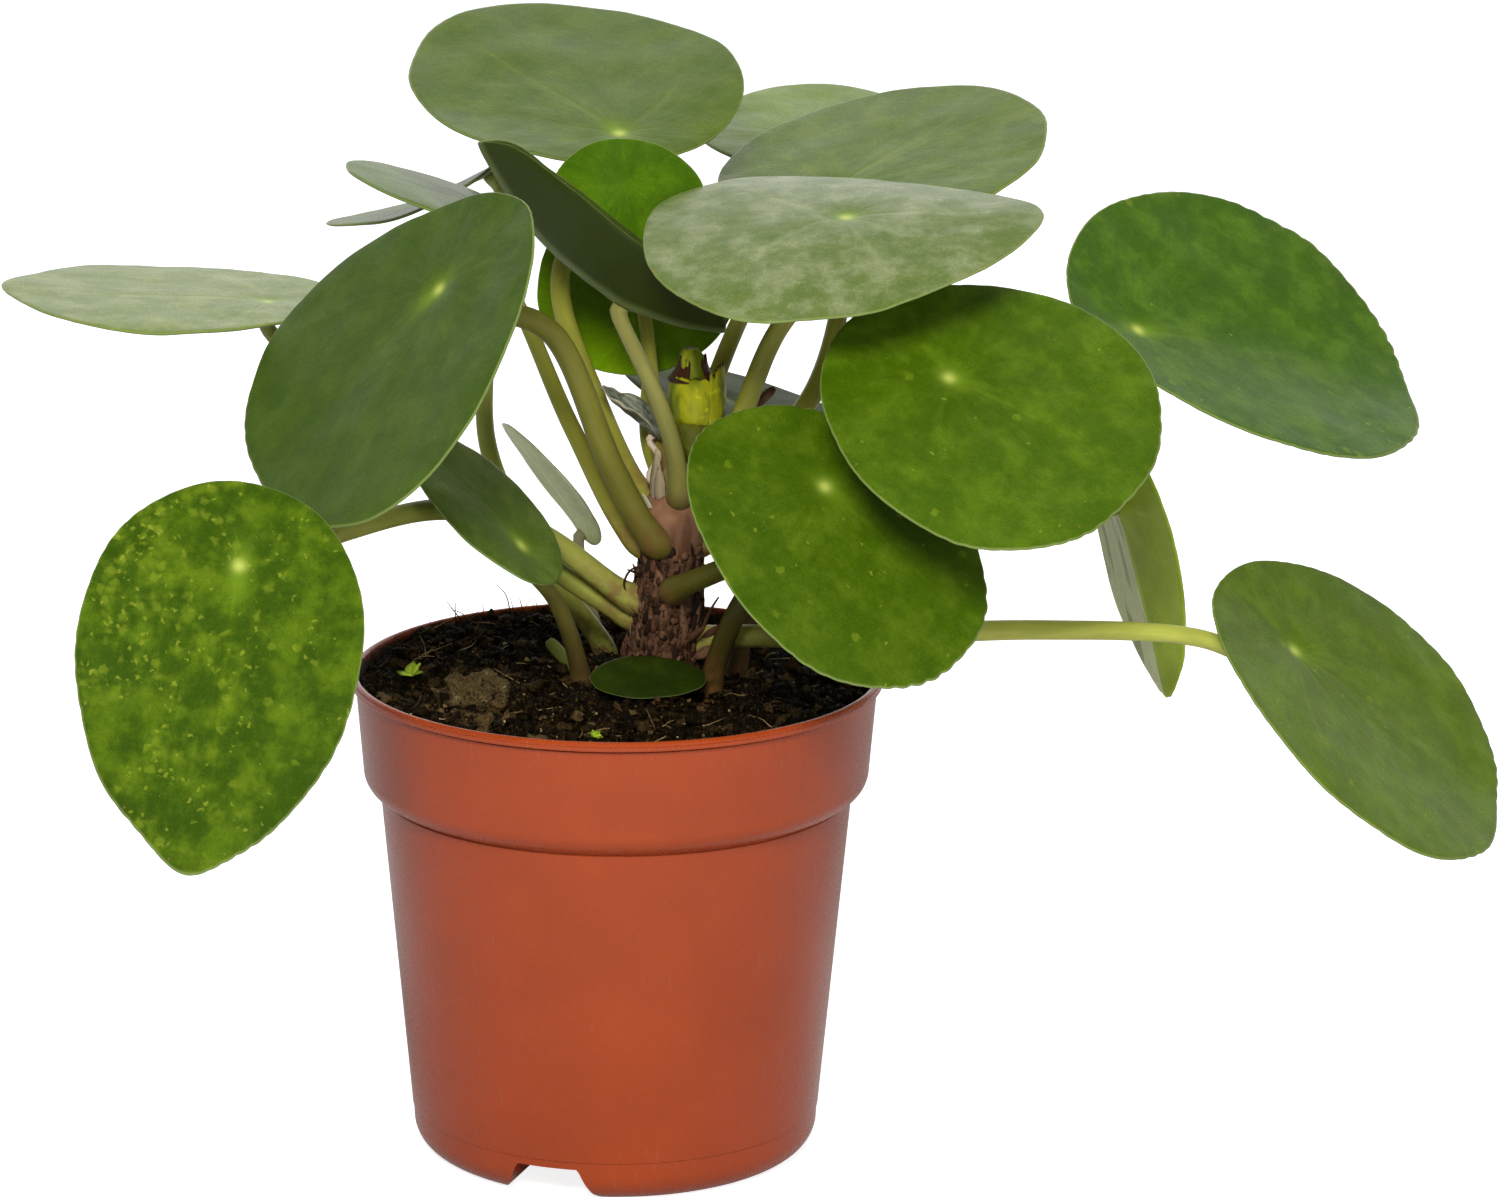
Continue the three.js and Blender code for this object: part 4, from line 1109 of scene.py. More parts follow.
def withered_material(name, dark, light, pale):
    """Dried leaf or stalk with lengthwise wrinkles, in its pale colour where the tone is 1."""
    material, tree = blank(name)
    lines = use(tree, "Streaks", Vector=attribute(tree, "stem_place"), Size=0.55)
    patch = ramp(tree, clouds(tree, millimetres(tree), 2.4, 3), 0.35, 0.62)
    colour = blend(tree, patch, dark, light)
    colour = over(tree, colour, shade(dark, 0.5), lines["Mask"], 0.6)
    colour = blend(tree, attribute(tree, "tone", "Fac"), colour, pale)
    return surface(material, colour, 0.6, lines["Fine"], 0.3, 0.8, Specular_IOR_Level=LEAF_SHINE)


def pot_profile():
    """Outside and inside of the pot's wall as (radius, height) pairs, from the floor outwards."""
    def arc(r, z, radius, start, end, steps):
        turns = [math.radians(start + (end - start) * i / steps) for i in range(steps + 1)]
        return [(r + radius * math.cos(a), z + radius * math.sin(a)) for a in turns]

    bead = RIM_BEAD / 2
    groove = POT_HEIGHT - RIM_BEAD
    outside = [
        (0.01, FOOT_HOLLOW), (BODY_LOW_RADIUS - FOOT_ROUND - 4, FOOT_HOLLOW),
        (BODY_LOW_RADIUS - FOOT_ROUND - 3, 0.0),
        *arc(BODY_LOW_RADIUS - FOOT_ROUND, FOOT_ROUND, FOOT_ROUND, -90, 0, 14),
        (BODY_LOW_RADIUS + 0.15, FOOT_STEP), (BODY_LOW_RADIUS + 0.4, FOOT_STEP + 0.25),
    ]
    for i in range(1, 25):
        share = i / 25
        radius = BODY_LOW_RADIUS + 0.38 + (BODY_TOP_RADIUS - BODY_LOW_RADIUS - 0.38) * share
        outside.append((radius, FOOT_STEP + 0.3 + (COLLAR_BOTTOM - FOOT_STEP - 0.6) * share))
    outside += [(BODY_TOP_RADIUS, COLLAR_BOTTOM - 0.5), (BODY_TOP_RADIUS - 0.3, COLLAR_BOTTOM - 0.2),
                (BODY_TOP_RADIUS - 0.3, COLLAR_BOTTOM + 0.05), (BODY_TOP_RADIUS + 0.3, COLLAR_BOTTOM + 0.1)]
    outside += arc(COLLAR_LOW_RADIUS - COLLAR_ROUND, COLLAR_BOTTOM + COLLAR_ROUND, COLLAR_ROUND, -70, 0, 12)
    for i in range(1, 9):
        share = i / 9
        radius = COLLAR_LOW_RADIUS + (COLLAR_TOP_RADIUS - 0.35 - COLLAR_LOW_RADIUS) * share
        low = COLLAR_BOTTOM + COLLAR_ROUND
        outside.append((radius, low + (groove - 0.8 - low) * share))
    outside += [(COLLAR_TOP_RADIUS - 0.35, groove - 0.4), (COLLAR_TOP_RADIUS - 0.65, groove - 0.2),
                (COLLAR_TOP_RADIUS - 0.6, groove + 0.1), (RIM_RADIUS - 0.45, groove + 0.15)]
    outside += arc(RIM_RADIUS - 0.35, groove + 0.5, 0.35, -80, 0, 3)
    outside += [(RIM_RADIUS, POT_HEIGHT - bead), (RIM_RADIUS - 0.3, POT_HEIGHT - bead + 0.15),
                (RIM_RADIUS - 0.3, POT_HEIGHT - bead + 0.3)]
    outside += arc(RIM_RADIUS - bead, POT_HEIGHT - 0.8, 0.8, 8, 172, 10)
    inside = [
        (COLLAR_TOP_RADIUS - WALL, groove), (COLLAR_LOW_RADIUS - WALL, COLLAR_BOTTOM + COLLAR_ROUND),
        (BODY_TOP_RADIUS - WALL, COLLAR_BOTTOM), (BODY_LOW_RADIUS - WALL, FOOT_ROUND),
        (BODY_LOW_RADIUS - FOOT_ROUND, 2 * WALL), (0.01, 2 * WALL),
    ]
    return outside + inside


def notch_outline(grow):
    """One drainage notch seen from outside: wide at its foot, with its lower corners rounded off."""
    half, top = NOTCH_WIDTH / 2 + grow, NOTCH_HEIGHT + grow
    right = [(half + 4.5, -1), (half + 3, 0.1), (half + 1.4, 0.8), (half + 0.4, 1.8), (half - 0.2, 3.2)]
    right += [(half - NOTCH_SLANT + 0.2, top - 0.8), (half - NOTCH_SLANT - 0.4, top)]
    return right + [(-x, z) for x, z in reversed(right)]


def notch_angles():
    """The direction of each notch from the pot's middle."""
    return [math.radians(NOTCH_FIRST + 360 / NOTCH_COUNT * i) for i in range(NOTCH_COUNT)]


def notch_blocks(name, grow):
    """A block for each notch, from its inner end out past the wall, in one mesh object."""
    blocks = Heap()
    outline = notch_outline(grow)
    count = len(outline)
    faces = [tuple(range(count)), tuple(range(2 * count - 1, count - 1, -1))]
    faces += [(k, (k + 1) % count, count + (k + 1) % count, count + k) for k in range(count)]
    for a in notch_angles():
        out, side = np.array((math.cos(a), math.sin(a), 0)), np.array((-math.sin(a), math.cos(a), 0))
        points = [out * r + side * x + np.array((0, 0, z))
                  for r in (NOTCH_INNER - grow, RIM_RADIUS) for x, z in outline]
        blocks.add(np.array(points), faces)
    return new_object(name, blocks.all_points(), blocks.faces)


def drain_holes():
    """A round hole at the inner end of each notch, in one mesh object."""
    holes = Heap()
    reach = NOTCH_INNER + DRAIN_RADIUS + DRAIN_INSET
    for a in notch_angles():
        centre = (reach * math.cos(a), reach * math.sin(a))
        holes.add(*round_body([(DRAIN_RADIUS, 2), (DRAIN_RADIUS, 12)], 32, [centre] * 2))
    return new_object("holes", holes.all_points(), holes.faces)


def combine(target, other, operation):
    """Joins, cuts or limits the target by the other object, which is then removed."""
    step = target.modifiers.new(operation, "BOOLEAN")
    step.operation, step.object, step.solver = operation, other, "EXACT"
    graph = bpy.context.evaluated_depsgraph_get()
    result = bpy.data.meshes.new_from_object(target.evaluated_get(graph))
    target.modifiers.clear()
    target.data = result
    bpy.data.objects.remove(other)


def make_pot(settings):
    """The pot's lathed wall with its notches, their covers inside and the drain holes."""
    profile = pot_profile()
    pot = new_object("pot_shell", *round_body(profile, POT_SIDES))
    room = [(0.01, WALL), *((r + WALL / 2, z) for r, z in reversed(profile[-5:-1])), (0.01, COLLAR_BOTTOM)]
    covers = notch_blocks("covers", WALL)
    combine(covers, new_object("inside", *round_body(room, 96)), "INTERSECT")
    combine(pot, covers, "UNION")
    combine(pot, notch_blocks("notches", 0), "DIFFERENCE")
    combine(pot, drain_holes(), "DIFFERENCE")
    if len(pot.data.polygons) < POT_SIDES:
        raise RuntimeError("the pot lost its wall when the notches were cut")
    finish(pot, pot_material(settings.colour), ("pot",))
    pot.data.set_sharp_from_angle(angle=math.radians(POT_CREASE))


def soil_height(x, y, fine=True):
    """Height of the soil's surface: heaps, clods and a dip all round where it meets the pot."""
    far = math.hypot(x, y)
    behind = max(0.0, (y - x) / (2 * RIM_RADIUS))
    heap = SOIL_HEAP * behind * 1.9
    p = Vector((x, y, 3.0))
    height = SOIL_LEVEL + heap + 1.5 * noise.noise(p / 13) + 1.3 * noise.noise(p / 6)
    if fine:
        bend = 1.2 * Vector((noise.noise(p / 2.3), noise.noise(p / 2.3 + Vector((9, 4, 0))), 0))
        clods = abs(noise.noise((p + bend) / 3.4)) + 0.55 * abs(noise.noise((p + bend) / 1.5))
        height += 2.9 * clods + 0.8 * noise.noise(p / 0.75) - 0.9
    dip = min(1.0, max(0.0, (far - 50) / 7)) * max(0.0, 1 - 1.8 * behind)
    return height - 1.6 * dip * dip


def make_soil():
    """The filling: a clodded surface over a plain round body inside the pot."""
    edge = COLLAR_TOP_RADIUS - WALL - SOIL_GAP
    ways = [(math.sin(i / SOIL_SIDES * TURN), -math.cos(i / SOIL_SIDES * TURN)) for i in range(SOIL_SIDES)]
    points, tones = [], []
    for k in range(SOIL_RINGS + 1):
        radius = max(0.05, edge * k / SOIL_RINGS)
        for east, north in ways:
            x, y = radius * east, radius * north
            rough, smooth = soil_height(x, y), soil_height(x, y, False)
            points.append((x, y, rough))
            tones.append(rough - smooth)
    below = (
        (COLLAR_LOW_RADIUS, COLLAR_BOTTOM + COLLAR_ROUND), (BODY_TOP_RADIUS, COLLAR_BOTTOM),
        (BODY_LOW_RADIUS + 0.4, FOOT_ROUND + 3),
    )
    for radius, height in below:
        radius = radius - WALL - SOIL_GAP
        points += [(radius * east, radius * north, height) for east, north in ways]
        tones += [0] * SOIL_SIDES
    faces = closed_rings(SOIL_RINGS + 1 + len(below), SOIL_SIDES)
    # The tone is how far the clodded surface stands over the smooth one, and the peat's material paints
    # shade where it is low
    tones = (np.array(tones) + 0.6) / 1.8
    piece("peat_filling", points, faces, soil_material(), "soil", ("soil",), tone=tones)


def soil_spot(rng, reach=55.5):
    """A random place on the soil that is clear of the trunk."""
    while True:
        radius, a = reach * math.sqrt(rng.random()), rng.uniform(0, TURN)
        x, y = radius * math.cos(a), radius * math.sin(a)
        if math.hypot(x - TRUNK[0][0], y - TRUNK[0][1]) > TRUNK_CLEARANCE:
            return x, y


def rim_spot(rng):
    """A random place near the wall at the back left."""
    a = math.radians(rng.uniform(100, 170))
    radius = rng.uniform(44, 54)
    return radius * math.cos(a), radius * math.sin(a)


def make_litter(settings):
    """Clods, the clump, fibres, bark chips and pale grains, all from one row of random numbers."""
    rng = random.Random(LITTER_SEED)
    crumbs = tone_material("crumbs", (0.007, 0.005, 0.002), (0.045, 0.027, 0.01), (0.12, 0.075, 0.03),
                           0.7, depth=0.5, gritty=True)
    make_clods(rng, settings.clods, crumbs)
    make_clump()
    make_fibres(rng, settings.fibres)
    make_chips(rng, crumbs)
    make_grains(rng)


def make_clods(rng, count, crumbs):
    """Clods all over the soil, and larger ones piled against the wall at the back left."""
    clods = Heap()
    for _ in range(count):
        x, y = soil_spot(rng)
        wide = 0.6 + 3 * rng.random() ** 4
        size = (wide * rng.uniform(0.9, 1.5), wide, wide * rng.uniform(0.6, 1))
        rough, sides, rows = (0.5, 6, 4) if wide < SMALL_CLOD else (0.7, 10, 6)
        top = soil_height(x, y) + 0.1 * wide
        clods.add(*lump((x, y, top), size, rng, rough, sides, rows), rng.random() ** 1.8)
    for _ in range(BACK_CLODS):
        x, y = rim_spot(rng)
        wide = rng.uniform(1.5, 3.2)
        size = (wide * 1.3, wide, wide * rng.uniform(0.6, 0.9))
        top = soil_height(x, y) + rng.uniform(0, 1.6)
        clods.add(*lump((x, y, top), size, rng, 0.7, 10, 6), rng.random() ** 2)
    clods.keep_in_pot()
    clods.make("soil_clods", crumbs, "soil")


def make_clump():
    """The big brown-green clump: three lumps with a crumbly surface, painted lighter on its bumps and
    darker in its hollows.
    """
    clump = Heap()
    for x, y, size in CLUMP:
        top = soil_height(x, y, False)
        points, faces = lump((x, y, top + size[2] * 0.28), size, random.Random(int(-x)), 0.3, 90, 60)
        bumps = np.array([
            0.8 * noise.noise(Vector(p) / 2.6) + 0.9 * abs(noise.noise(Vector(p) / 1.1)) +
            0.5 * abs(noise.noise(Vector(p) / 0.5)) for p in points
        ])
        points = points + bumps[:, None] * unit(points - np.array((x, y, top)))
        # The tone follows the bumps: painted highlights on the raised crumbs and painted shade in the
        # hollows between them
        clump.add(points, faces, np.clip(0.45 + 0.35 * bumps, 0, 1))
    mossy = tone_material("clump", (0.012, 0.008, 0.004), (0.08, 0.055, 0.022), (0.24, 0.18, 0.08), 0.8,
                          depth=0.6, gritty=True)
    clump.make("soil_clump", mossy, "soil")


def make_fibres(rng, count):
    """Peat fibres that lie on the soil, and longer ones that stand up at the back left."""
    fibres = Heap()
    for _ in range(count):
        x, y = soil_spot(rng, 56.5)
        add_fibre(fibres, rng, (x, y, soil_height(x, y) + 0.2), rng.uniform(2, 8), 0.35)
    for _ in range(BACK_FIBRES):
        x, y = rim_spot(rng)
        add_fibre(fibres, rng, (x, y, soil_height(x, y)), rng.uniform(5, 11), 1.0)
    straw = tone_material("fibres", (0.012, 0.006, 0.003), (0.07, 0.036, 0.015), (0.4, 0.28, 0.12), 0.8,
                          0.8, 0.1)
    fibres.keep_in_pot()
    fibres.make("soil_fibres", straw, "soil")


def add_fibre(heap, rng, at, length, rise):
    """A thin bent fibre that starts on the soil; rise from 0, lying, to 1, standing."""
    knots = [np.array(at, float)]
    azimuth, lift = rng.uniform(0, 360), rng.uniform(0, 50) * rise
    for _ in range(3):
        azimuth += rng.uniform(-45, 45)
        lift += rng.uniform(-25, 18)
        knots.append(knots[-1] + compass(azimuth, lift) * length / 3)
    path = smooth_path(knots, length / 7)
    points, faces, _ = tube(path, rng.uniform(0.09, 0.24) * np.linspace(1, 0.35, len(path)), 5)
    heap.add(points, faces, rng.random() ** 2.2)


def make_chips(rng, crumbs):
    """Small chips of bark on the soil."""
    chips = Heap()
    for _ in range(CHIPS):
        x, y = soil_spot(rng, 54)
        way = compass(rng.uniform(0, 360), rng.uniform(-15, 35))
        out = (rng.uniform(-1, 1), rng.uniform(-1, 1), 1)
        length, width, curl = rng.uniform(1.5, 4.5), rng.uniform(0.8, 1.6), rng.uniform(-0.1, 0.3)
        points, faces = pointed_scale((x, y, soil_height(x, y) + 0.2), way, out, length, width, curl, 0.4)
        chips.add(points, faces, rng.random() ** 3)
    chips.keep_in_pot()
    chips.make("soil_chips", crumbs, "soil")


def make_grains(rng):
    """Pale grains on the soil."""
    grains = Heap()
    for _ in range(GRAINS):
        x, y = soil_spot(rng)
        size = 0.4 + 0.8 * rng.random() ** 2
        points, faces = lump((x, y, soil_height(x, y) + 0.3 * size), (size * 1.2, size, size), rng)
        grains.add(points, faces, rng.random())
    cream = tone_material("grains", (0.1, 0.06, 0.02), (0.28, 0.2, 0.07), (0.4, 0.32, 0.13), 0.6, 0.7, 0.05)
    grains.make("soil_grains", cream, "soil")


def make_seedlings():
    """Two tiny bright green seedlings."""
    heap = Heap()
    rng = random.Random(SEEDLING_SEED)
    for x, y, size in SEEDLINGS:
        at = np.array((x, y, soil_height(x, y) + 0.8))
        for i in range(SEEDLING_LEAVES):
            way = compass(33 * i + rng.uniform(-15, 15), rng.uniform(0, 75))
            length = size * rng.uniform(0.8, 1.15)
            heap.add(*pointed_scale(at, way, (0, 0, 1), length, length * 0.95, -0.1, 0.3), rng.random())
    green = tone_material("seedling", (0.16, 0.26, 0.01), (0.28, 0.42, 0.02), (0.4, 0.52, 0.05), 1.0,
                          0.6, 0.05)
    heap.make("seedlings", green, "blade_bright")


def trunk_at(z):
    """The trunk's centre and radius at a height."""
    heights = [level[2] for level in TRUNK]
    x, y, radius = (float(np.interp(z, heights, [level[i] for level in TRUNK])) for i in (0, 1, 3))
    return np.array((x, y, z)), radius


def make_trunk(settings):
    """The trunk with its furrowed bark and the smooth swelling under the bud."""
    heights = np.linspace(TRUNK[0][2] + BARK_LOW, TRUNK[-1][2], BARK_ROWS)
    levels = [trunk_at(z) for z in heights]
    shaggy = settings.roughness * METRE

    def push(k, angle):
        z = heights[k]
        bark = 1 if z < BARK_TOP - 1.5 else max(0.12, 1 - (z - BARK_TOP + 1.5) / 3)
        places = list(zip(np.cos(angle) * 7, np.sin(angle) * 7))
        rough = [1.7 * abs(noise.noise(Vector((x / 2.1, y / 2.1, z / 9)))) +
                 0.7 * abs(noise.noise(Vector((x / 0.8, y / 0.8, z / 3)))) - 0.5 for x, y in places]
        broad = [0.5 * noise.noise(Vector((x / 6, y / 6, z / 6))) for x, y in places]
        lean = np.clip(np.cos(angle - math.radians(SWELLING_SIDE)), 0, 1)
        swell = SWELLING * math.exp(-(((z - SWELLING_HEIGHT) / 5) ** 2)) * lean
        return shaggy * bark * np.array(rough) + np.array(broad) + swell

    profile = [(radius, z) for z, (_, radius) in zip(heights, levels)]
    points, faces = round_body(profile, BARK_SIDES, [centre[:2] for centre, _ in levels], push)
    piece("trunk_bark", points, faces, trunk_material(), "trunk", ("trunk",))


def make_flakes(settings):
    """Shaggy scales, the curled filament and papery stipules on the trunk."""
    rng = random.Random(FLAKE_SEED)
    heap = Heap()
    for _ in range(settings.flakes):
        z = FLAKES_LOW + (BARK_TOP - FLAKES_LOW) * rng.random() ** 0.9
        azimuth = rng.uniform(0, 360)
        centre, radius = trunk_at(z)
        out = compass(azimuth, 0)
        aside = rng.uniform(-0.7, 0.7) * compass(azimuth + 90, 0)
        way = np.array((0, 0, rng.choice((1, 1, -1)))) + aside + rng.uniform(-0.05, 0.08) * out
        length = 1.4 + 4.2 * rng.random() ** 1.8
        width, curl = rng.uniform(0.7, 2.3), rng.uniform(-0.06, 0.1)
        points, faces = pointed_scale(centre + out * (radius + 0.1), way, out, length, width, curl, 0.22)
        heap.add(points, faces, rng.random() ** 1.6)
    for at, way, out, length, width, tone in STANDING_SCALES:
        heap.add(*pointed_scale(at, way, out, length, width, 0.15, 0.3), tone)
    flaky = tone_material("flakes", (0.022, 0.012, 0.007), (0.1, 0.045, 0.024), (0.19, 0.1, 0.055), 0.7,
                          0.7, 0.15)
    heap.make("trunk_flakes", flaky, "trunk")

    path = smooth_path(FILAMENT, 0.5)
    points, faces, _ = tube(path, np.full(len(path), FILAMENT_RADIUS), 8)
    dark = tone_material("filament", (0.02, 0.01, 0.006), (0.04, 0.02, 0.01), (0.08, 0.04, 0.02), 1,
                         0.5, 0.05)
    piece("trunk_filament", points, faces, dark, "trunk", tone=np.full(len(points), 0.4))

    papers = Heap()
    for at, way, out, length, width in STIPULES:
        papers.add(*pointed_scale(at, way, out, length, width, 0.1, 0.25), rng.random())
    papery = tone_material("stipules", (0.2, 0.11, 0.065), (0.3, 0.24, 0.14), (0.42, 0.4, 0.26), 1.2,
                           0.55, 0.08)
    papers.make("stipules", papery, "wither")


def bud_scale(centre, levels, start, end, thick, jag, seed):
    """A curved scale of the bud: part of a round wall between two compass directions."""
    rng = random.Random(seed)
    teeth = [rng.uniform(-1, 1) for _ in range(SCALE_STEPS + 1)]
    points, tones = [], []
    for inner in (0, 1):
        for k, (radius, z, lean) in enumerate(levels):
            share = k / (len(levels) - 1)
            wide = radius - inner * thick * (1 - 0.5 * share)
            for i in range(SCALE_STEPS + 1):
                s = i / SCALE_STEPS
                a = math.radians(start + (end - start) * s)
                top = jag * share**6 * (teeth[i] - 1.2 * abs(2 * s - 1) ** 3)
                x = centre[0] + lean * share + wide * math.cos(a)
                points.append((x, centre[1] + wide * math.sin(a), z + top))
                tones.append(share)
    return np.array(points), shell_faces(len(levels), SCALE_STEPS + 1, 1), np.array(tones)


def add_bud_scales(heap, scales, centre, thick, tone_low, tone_gain):
    """Adds a row of scales round a centre, with tones that rise from their foot to their rim."""
    for levels, start, end, jag, seed in scales:
        points, faces, tones = bud_scale(centre, levels, start, end, thick, jag, seed)
        heap.add(points, faces, tones * tone_gain + tone_low)


def make_bud():
    """The bud: a yellow-green cup with a torn brown rim round a blunt green hood, in a dark sheath."""
    cup, cap, sheath = Heap(), Heap(), Heap()
    add_bud_scales(cup, CUP_SCALES, CUP_CENTRE, 0.6, 0, 1)
    yellow = bud_material("bud_cup", (0.1, 0.13, 0.0015), (0.31, 0.31, 0.009), (0.07, 0.09, 0.003), 0.955)
    cup.make("bud_cup", yellow, "bud", ("bud",))

    def ridges(k, angle):
        return 0.25 * np.cos(3 * angle + 0.4) + 0.15 * np.cos(7 * angle + k / 3)

    centres = [(HOOD_CENTRE[0] - HOOD_LEAN * k, HOOD_CENTRE[1]) for k in range(len(HOOD))]
    points, faces = round_body(HOOD, HOOD_SIDES, centres, ridges)
    cap.add(points, faces, np.repeat(np.linspace(0.1, 0.84, len(HOOD)), HOOD_SIDES))
    add_bud_scales(cap, SKIRT_SCALES, HOOD_CENTRE, 0.35, 0.9, 0.1)
    olive = bud_material("bud_cap", (0.08, 0.11, 0.004), (0.2, 0.22, 0.01), (0.05, 0.05, 0.006), 0.78)
    cap.make("bud_cap", olive, "bud")

    add_bud_scales(sheath, SHEATH_SCALES, SHEATH_CENTRE, 0.5, 0, 0.6)
    brown = bud_material("bud_sheath", (0.04, 0.045, 0.004), (0.085, 0.09, 0.008), (0.03, 0.02, 0.005), 0.9)
    sheath.make("bud_sheath", brown, "bud")


def blade_axes(leaf):
    """Along the midrib to the tip, across it, and out of the upper side."""
    azimuth, elevation = leaf["face"]
    up = compass(azimuth, elevation)
    along = turned(compass(azimuth, elevation - 90), up, leaf["turn"])
    return along, np.cross(up, along), up


def blade_edge(leaf, angle, nicks):
    """Outline of a blade at an angle round its middle, with small uneven scallops of depth nicks."""
    length, width = leaf["length"], leaf["width"]
    phase = leaf["length"] + leaf["width"]
    ripple = 1 + RIPPLE * np.cos(SCALLOPS * angle + len(leaf["name"]))
    lobes = round(math.pi * (length + width) / (4 * LOBE))
    fine = np.abs(np.sin(lobes * angle + 1.3 * np.sin(3 * angle + phase))) - 0.65
    uneven = 0.5 + 0.3 * np.sin(2 * angle + phase) + 0.35 * np.sin(7 * angle + 2 * phase)
    ripple = ripple + nicks * fine * np.clip(uneven, 0.1, 1) / (length / 2)
    u = length * (np.cos(angle) / 2 + 0.5 - leaf["back"])
    v = (width / 2) * np.sin(angle) * (1 - leaf.get("egg", EGG) * np.cos(angle))
    lean = np.arctan2(np.sin(angle), np.cos(angle)) / TIP_SPREAD
    tip = leaf.get("point", 0) * np.exp(-lean * lean)
    return u * ripple + tip, v * ripple + leaf.get("aside", 0)


def blade_rise(leaf, u, v, reach, angle):
    """Height of the blade's middle surface over the plane through the stalk's end."""
    a, b = 2 * u / leaf["length"], 2 * v / leaf["width"]
    crease = np.hypot(b, FOLD_SOFTNESS) - FOLD_SOFTNESS
    dimple = DIMPLE_DEPTH * np.exp(-(u * u + v * v) / DIMPLE_RADIUS**2)
    rim = leaf.get("wave", 0) * reach**3 * np.cos(leaf.get("waves", 2) * angle)
    bent = leaf.get("cup", 0) * b * b + leaf.get("fold", 0) * crease - leaf.get("bow", 0) * a * a
    return rim + bent - dimple


def vein_lines(u, v):
    """0 to 1, highest on the veins that spread from the stalk's end and arch to the tip."""
    far = np.hypot(u, v)
    way = np.arctan2(v, u) * (1 + far / VEIN_ARCH)
    return np.cos(VEIN_COUNT * way) ** 12 * np.clip(far / 6, 0, 1)


def blade_mesh(leaf, grid_size, nicks, relief):
    """Points, faces and place of a blade: two faces that meet in a rounded rim.

    The place is the distance along and across the midrib and the share of the way to the rim,
    and below is 1 on the lower face.
    """
    rings, segments = grid_size
    along, across, up = blade_axes(leaf)
    edge_share = BLADE_RIM / (0.5 * min(leaf["length"], leaf["width"]))
    inner = np.linspace(0, 1 - edge_share, rings + 1)[1:]
    turns = np.linspace(0, math.pi / 2, 5)[1:]
    reach = np.concatenate((inner, 1 - edge_share + edge_share * np.sin(turns)))
    thin = np.concatenate((np.ones(rings), np.cos(turns)))
    angle = round_angles(segments)
    edge_u, edge_v = blade_edge(leaf, angle, nicks)
    grid = reach[:, None] * np.ones(segments)[None, :]
    u = np.append(0, (grid * edge_u).ravel())
    v = np.append(0, (grid * edge_v).ravel())
    whole = np.append(0, grid.ravel())
    angles = np.append(0, np.tile(angle, len(reach)))
    slim = np.append(1, np.repeat(thin, segments))
    flat = np.column_stack((u, v, np.zeros(len(u))))
    seed = len(leaf["name"]) + leaf["length"]
    bumps = unevenness(flat, 14, relief, seed) + unevenness(flat, 5, 0.25 * relief, seed + 1)

    def rise(du, dv):
        return blade_rise(leaf, u + du, v + dv, whole, angles)

    slope_u = (rise(SLOPE_STEP, 0) - rise(-SLOPE_STEP, 0)) / (2 * SLOPE_STEP)
    slope_v = (rise(0, SLOPE_STEP) - rise(0, -SLOPE_STEP)) / (2 * SLOPE_STEP)
    normal = unit(up - slope_u[:, None] * along - slope_v[:, None] * across)
    middle = np.array(leaf["at"]) + u[:, None] * along + v[:, None] * across
    middle = middle + (rise(0, 0) + bumps * whole * (1.6 - whole))[:, None] * up
    half = (BLADE_MIDDLE + (BLADE_RIM - BLADE_MIDDLE) * whole) / 2 * slim
    veins = VEIN_DEPTH * vein_lines(u, v) * (1 - whole) * slim
    upper = middle + normal * (half - veins)[:, None]
    lower = (middle - normal * (half + veins)[:, None])[:-segments]
    place = np.column_stack((u, v, whole))
    count, last = len(upper), len(reach) - 1
    faces = []

    def ring_point(ring, i, below):
        start = count + 1 if below and ring < last else 1
        return start + ring * segments + i % segments

    for below in (False, True):
        for i in range(segments):
            corner = (count if below else 0, ring_point(0, i, below), ring_point(0, i + 1, below))
            faces.append(corner[::-1] if below else corner)
            for k in range(last):
                quad = (ring_point(k, i, below), ring_point(k + 1, i, below),
                        ring_point(k + 1, i + 1, below), ring_point(k, i + 1, below))
                faces.append(quad[::-1] if below else quad)
    points = np.concatenate((upper, lower))
    place = np.concatenate((place, place[: len(lower)]))
    below = np.concatenate((np.zeros(count - segments), np.full(segments, 0.5), np.ones(len(lower))))
    return points, faces, place, below


def make_blades(settings):
    """The blades of all the leaves, each with its own outline, bend and look."""
    for leaf in LEAVES:
        grid_size = SMALL_GRID if leaf["length"] < SMALL_BLADE else LARGE_GRID
        nicks = settings.scallop * METRE * look_of(leaf)["nicks"]
        points, faces, place, below = blade_mesh(leaf, grid_size, nicks, settings.relief * METRE)
        piece(f"leaf_{leaf['name']}", points, faces, leaf_material(leaf), leaf["slot"],
              (f"blade_{leaf['name']}",), blade_place=place, below=below)


def stem_knots(stem):
    """A stem's first points: its root in the trunk or the soil, where it comes out, its bends."""
    bends = [np.array(p, float) for p in stem["via"]]
    if "soil" in stem:
        x, y = stem["soil"]
        return [np.array((x, y, SOIL_LEVEL - STEM_DEPTH)), np.array((x, y, SOIL_LEVEL)), *bends]
    height, side = stem["trunk"]
    centre, radius = trunk_at(height)
    return [centre, centre + compass(side, STALK_RISE) * (radius + STALK_OUT), *bends]


def stalk_path(leaf):
    """A leaf's stalk, which ends just inside the blade's underside."""
    up = blade_axes(leaf)[2]
    end = np.array(leaf["at"], float) - up * (DIMPLE_DEPTH + BLADE_MIDDLE / 3)
    return smooth_path([*stem_knots(leaf), end - up * leaf.get("neck", NECK), end], 1.2)


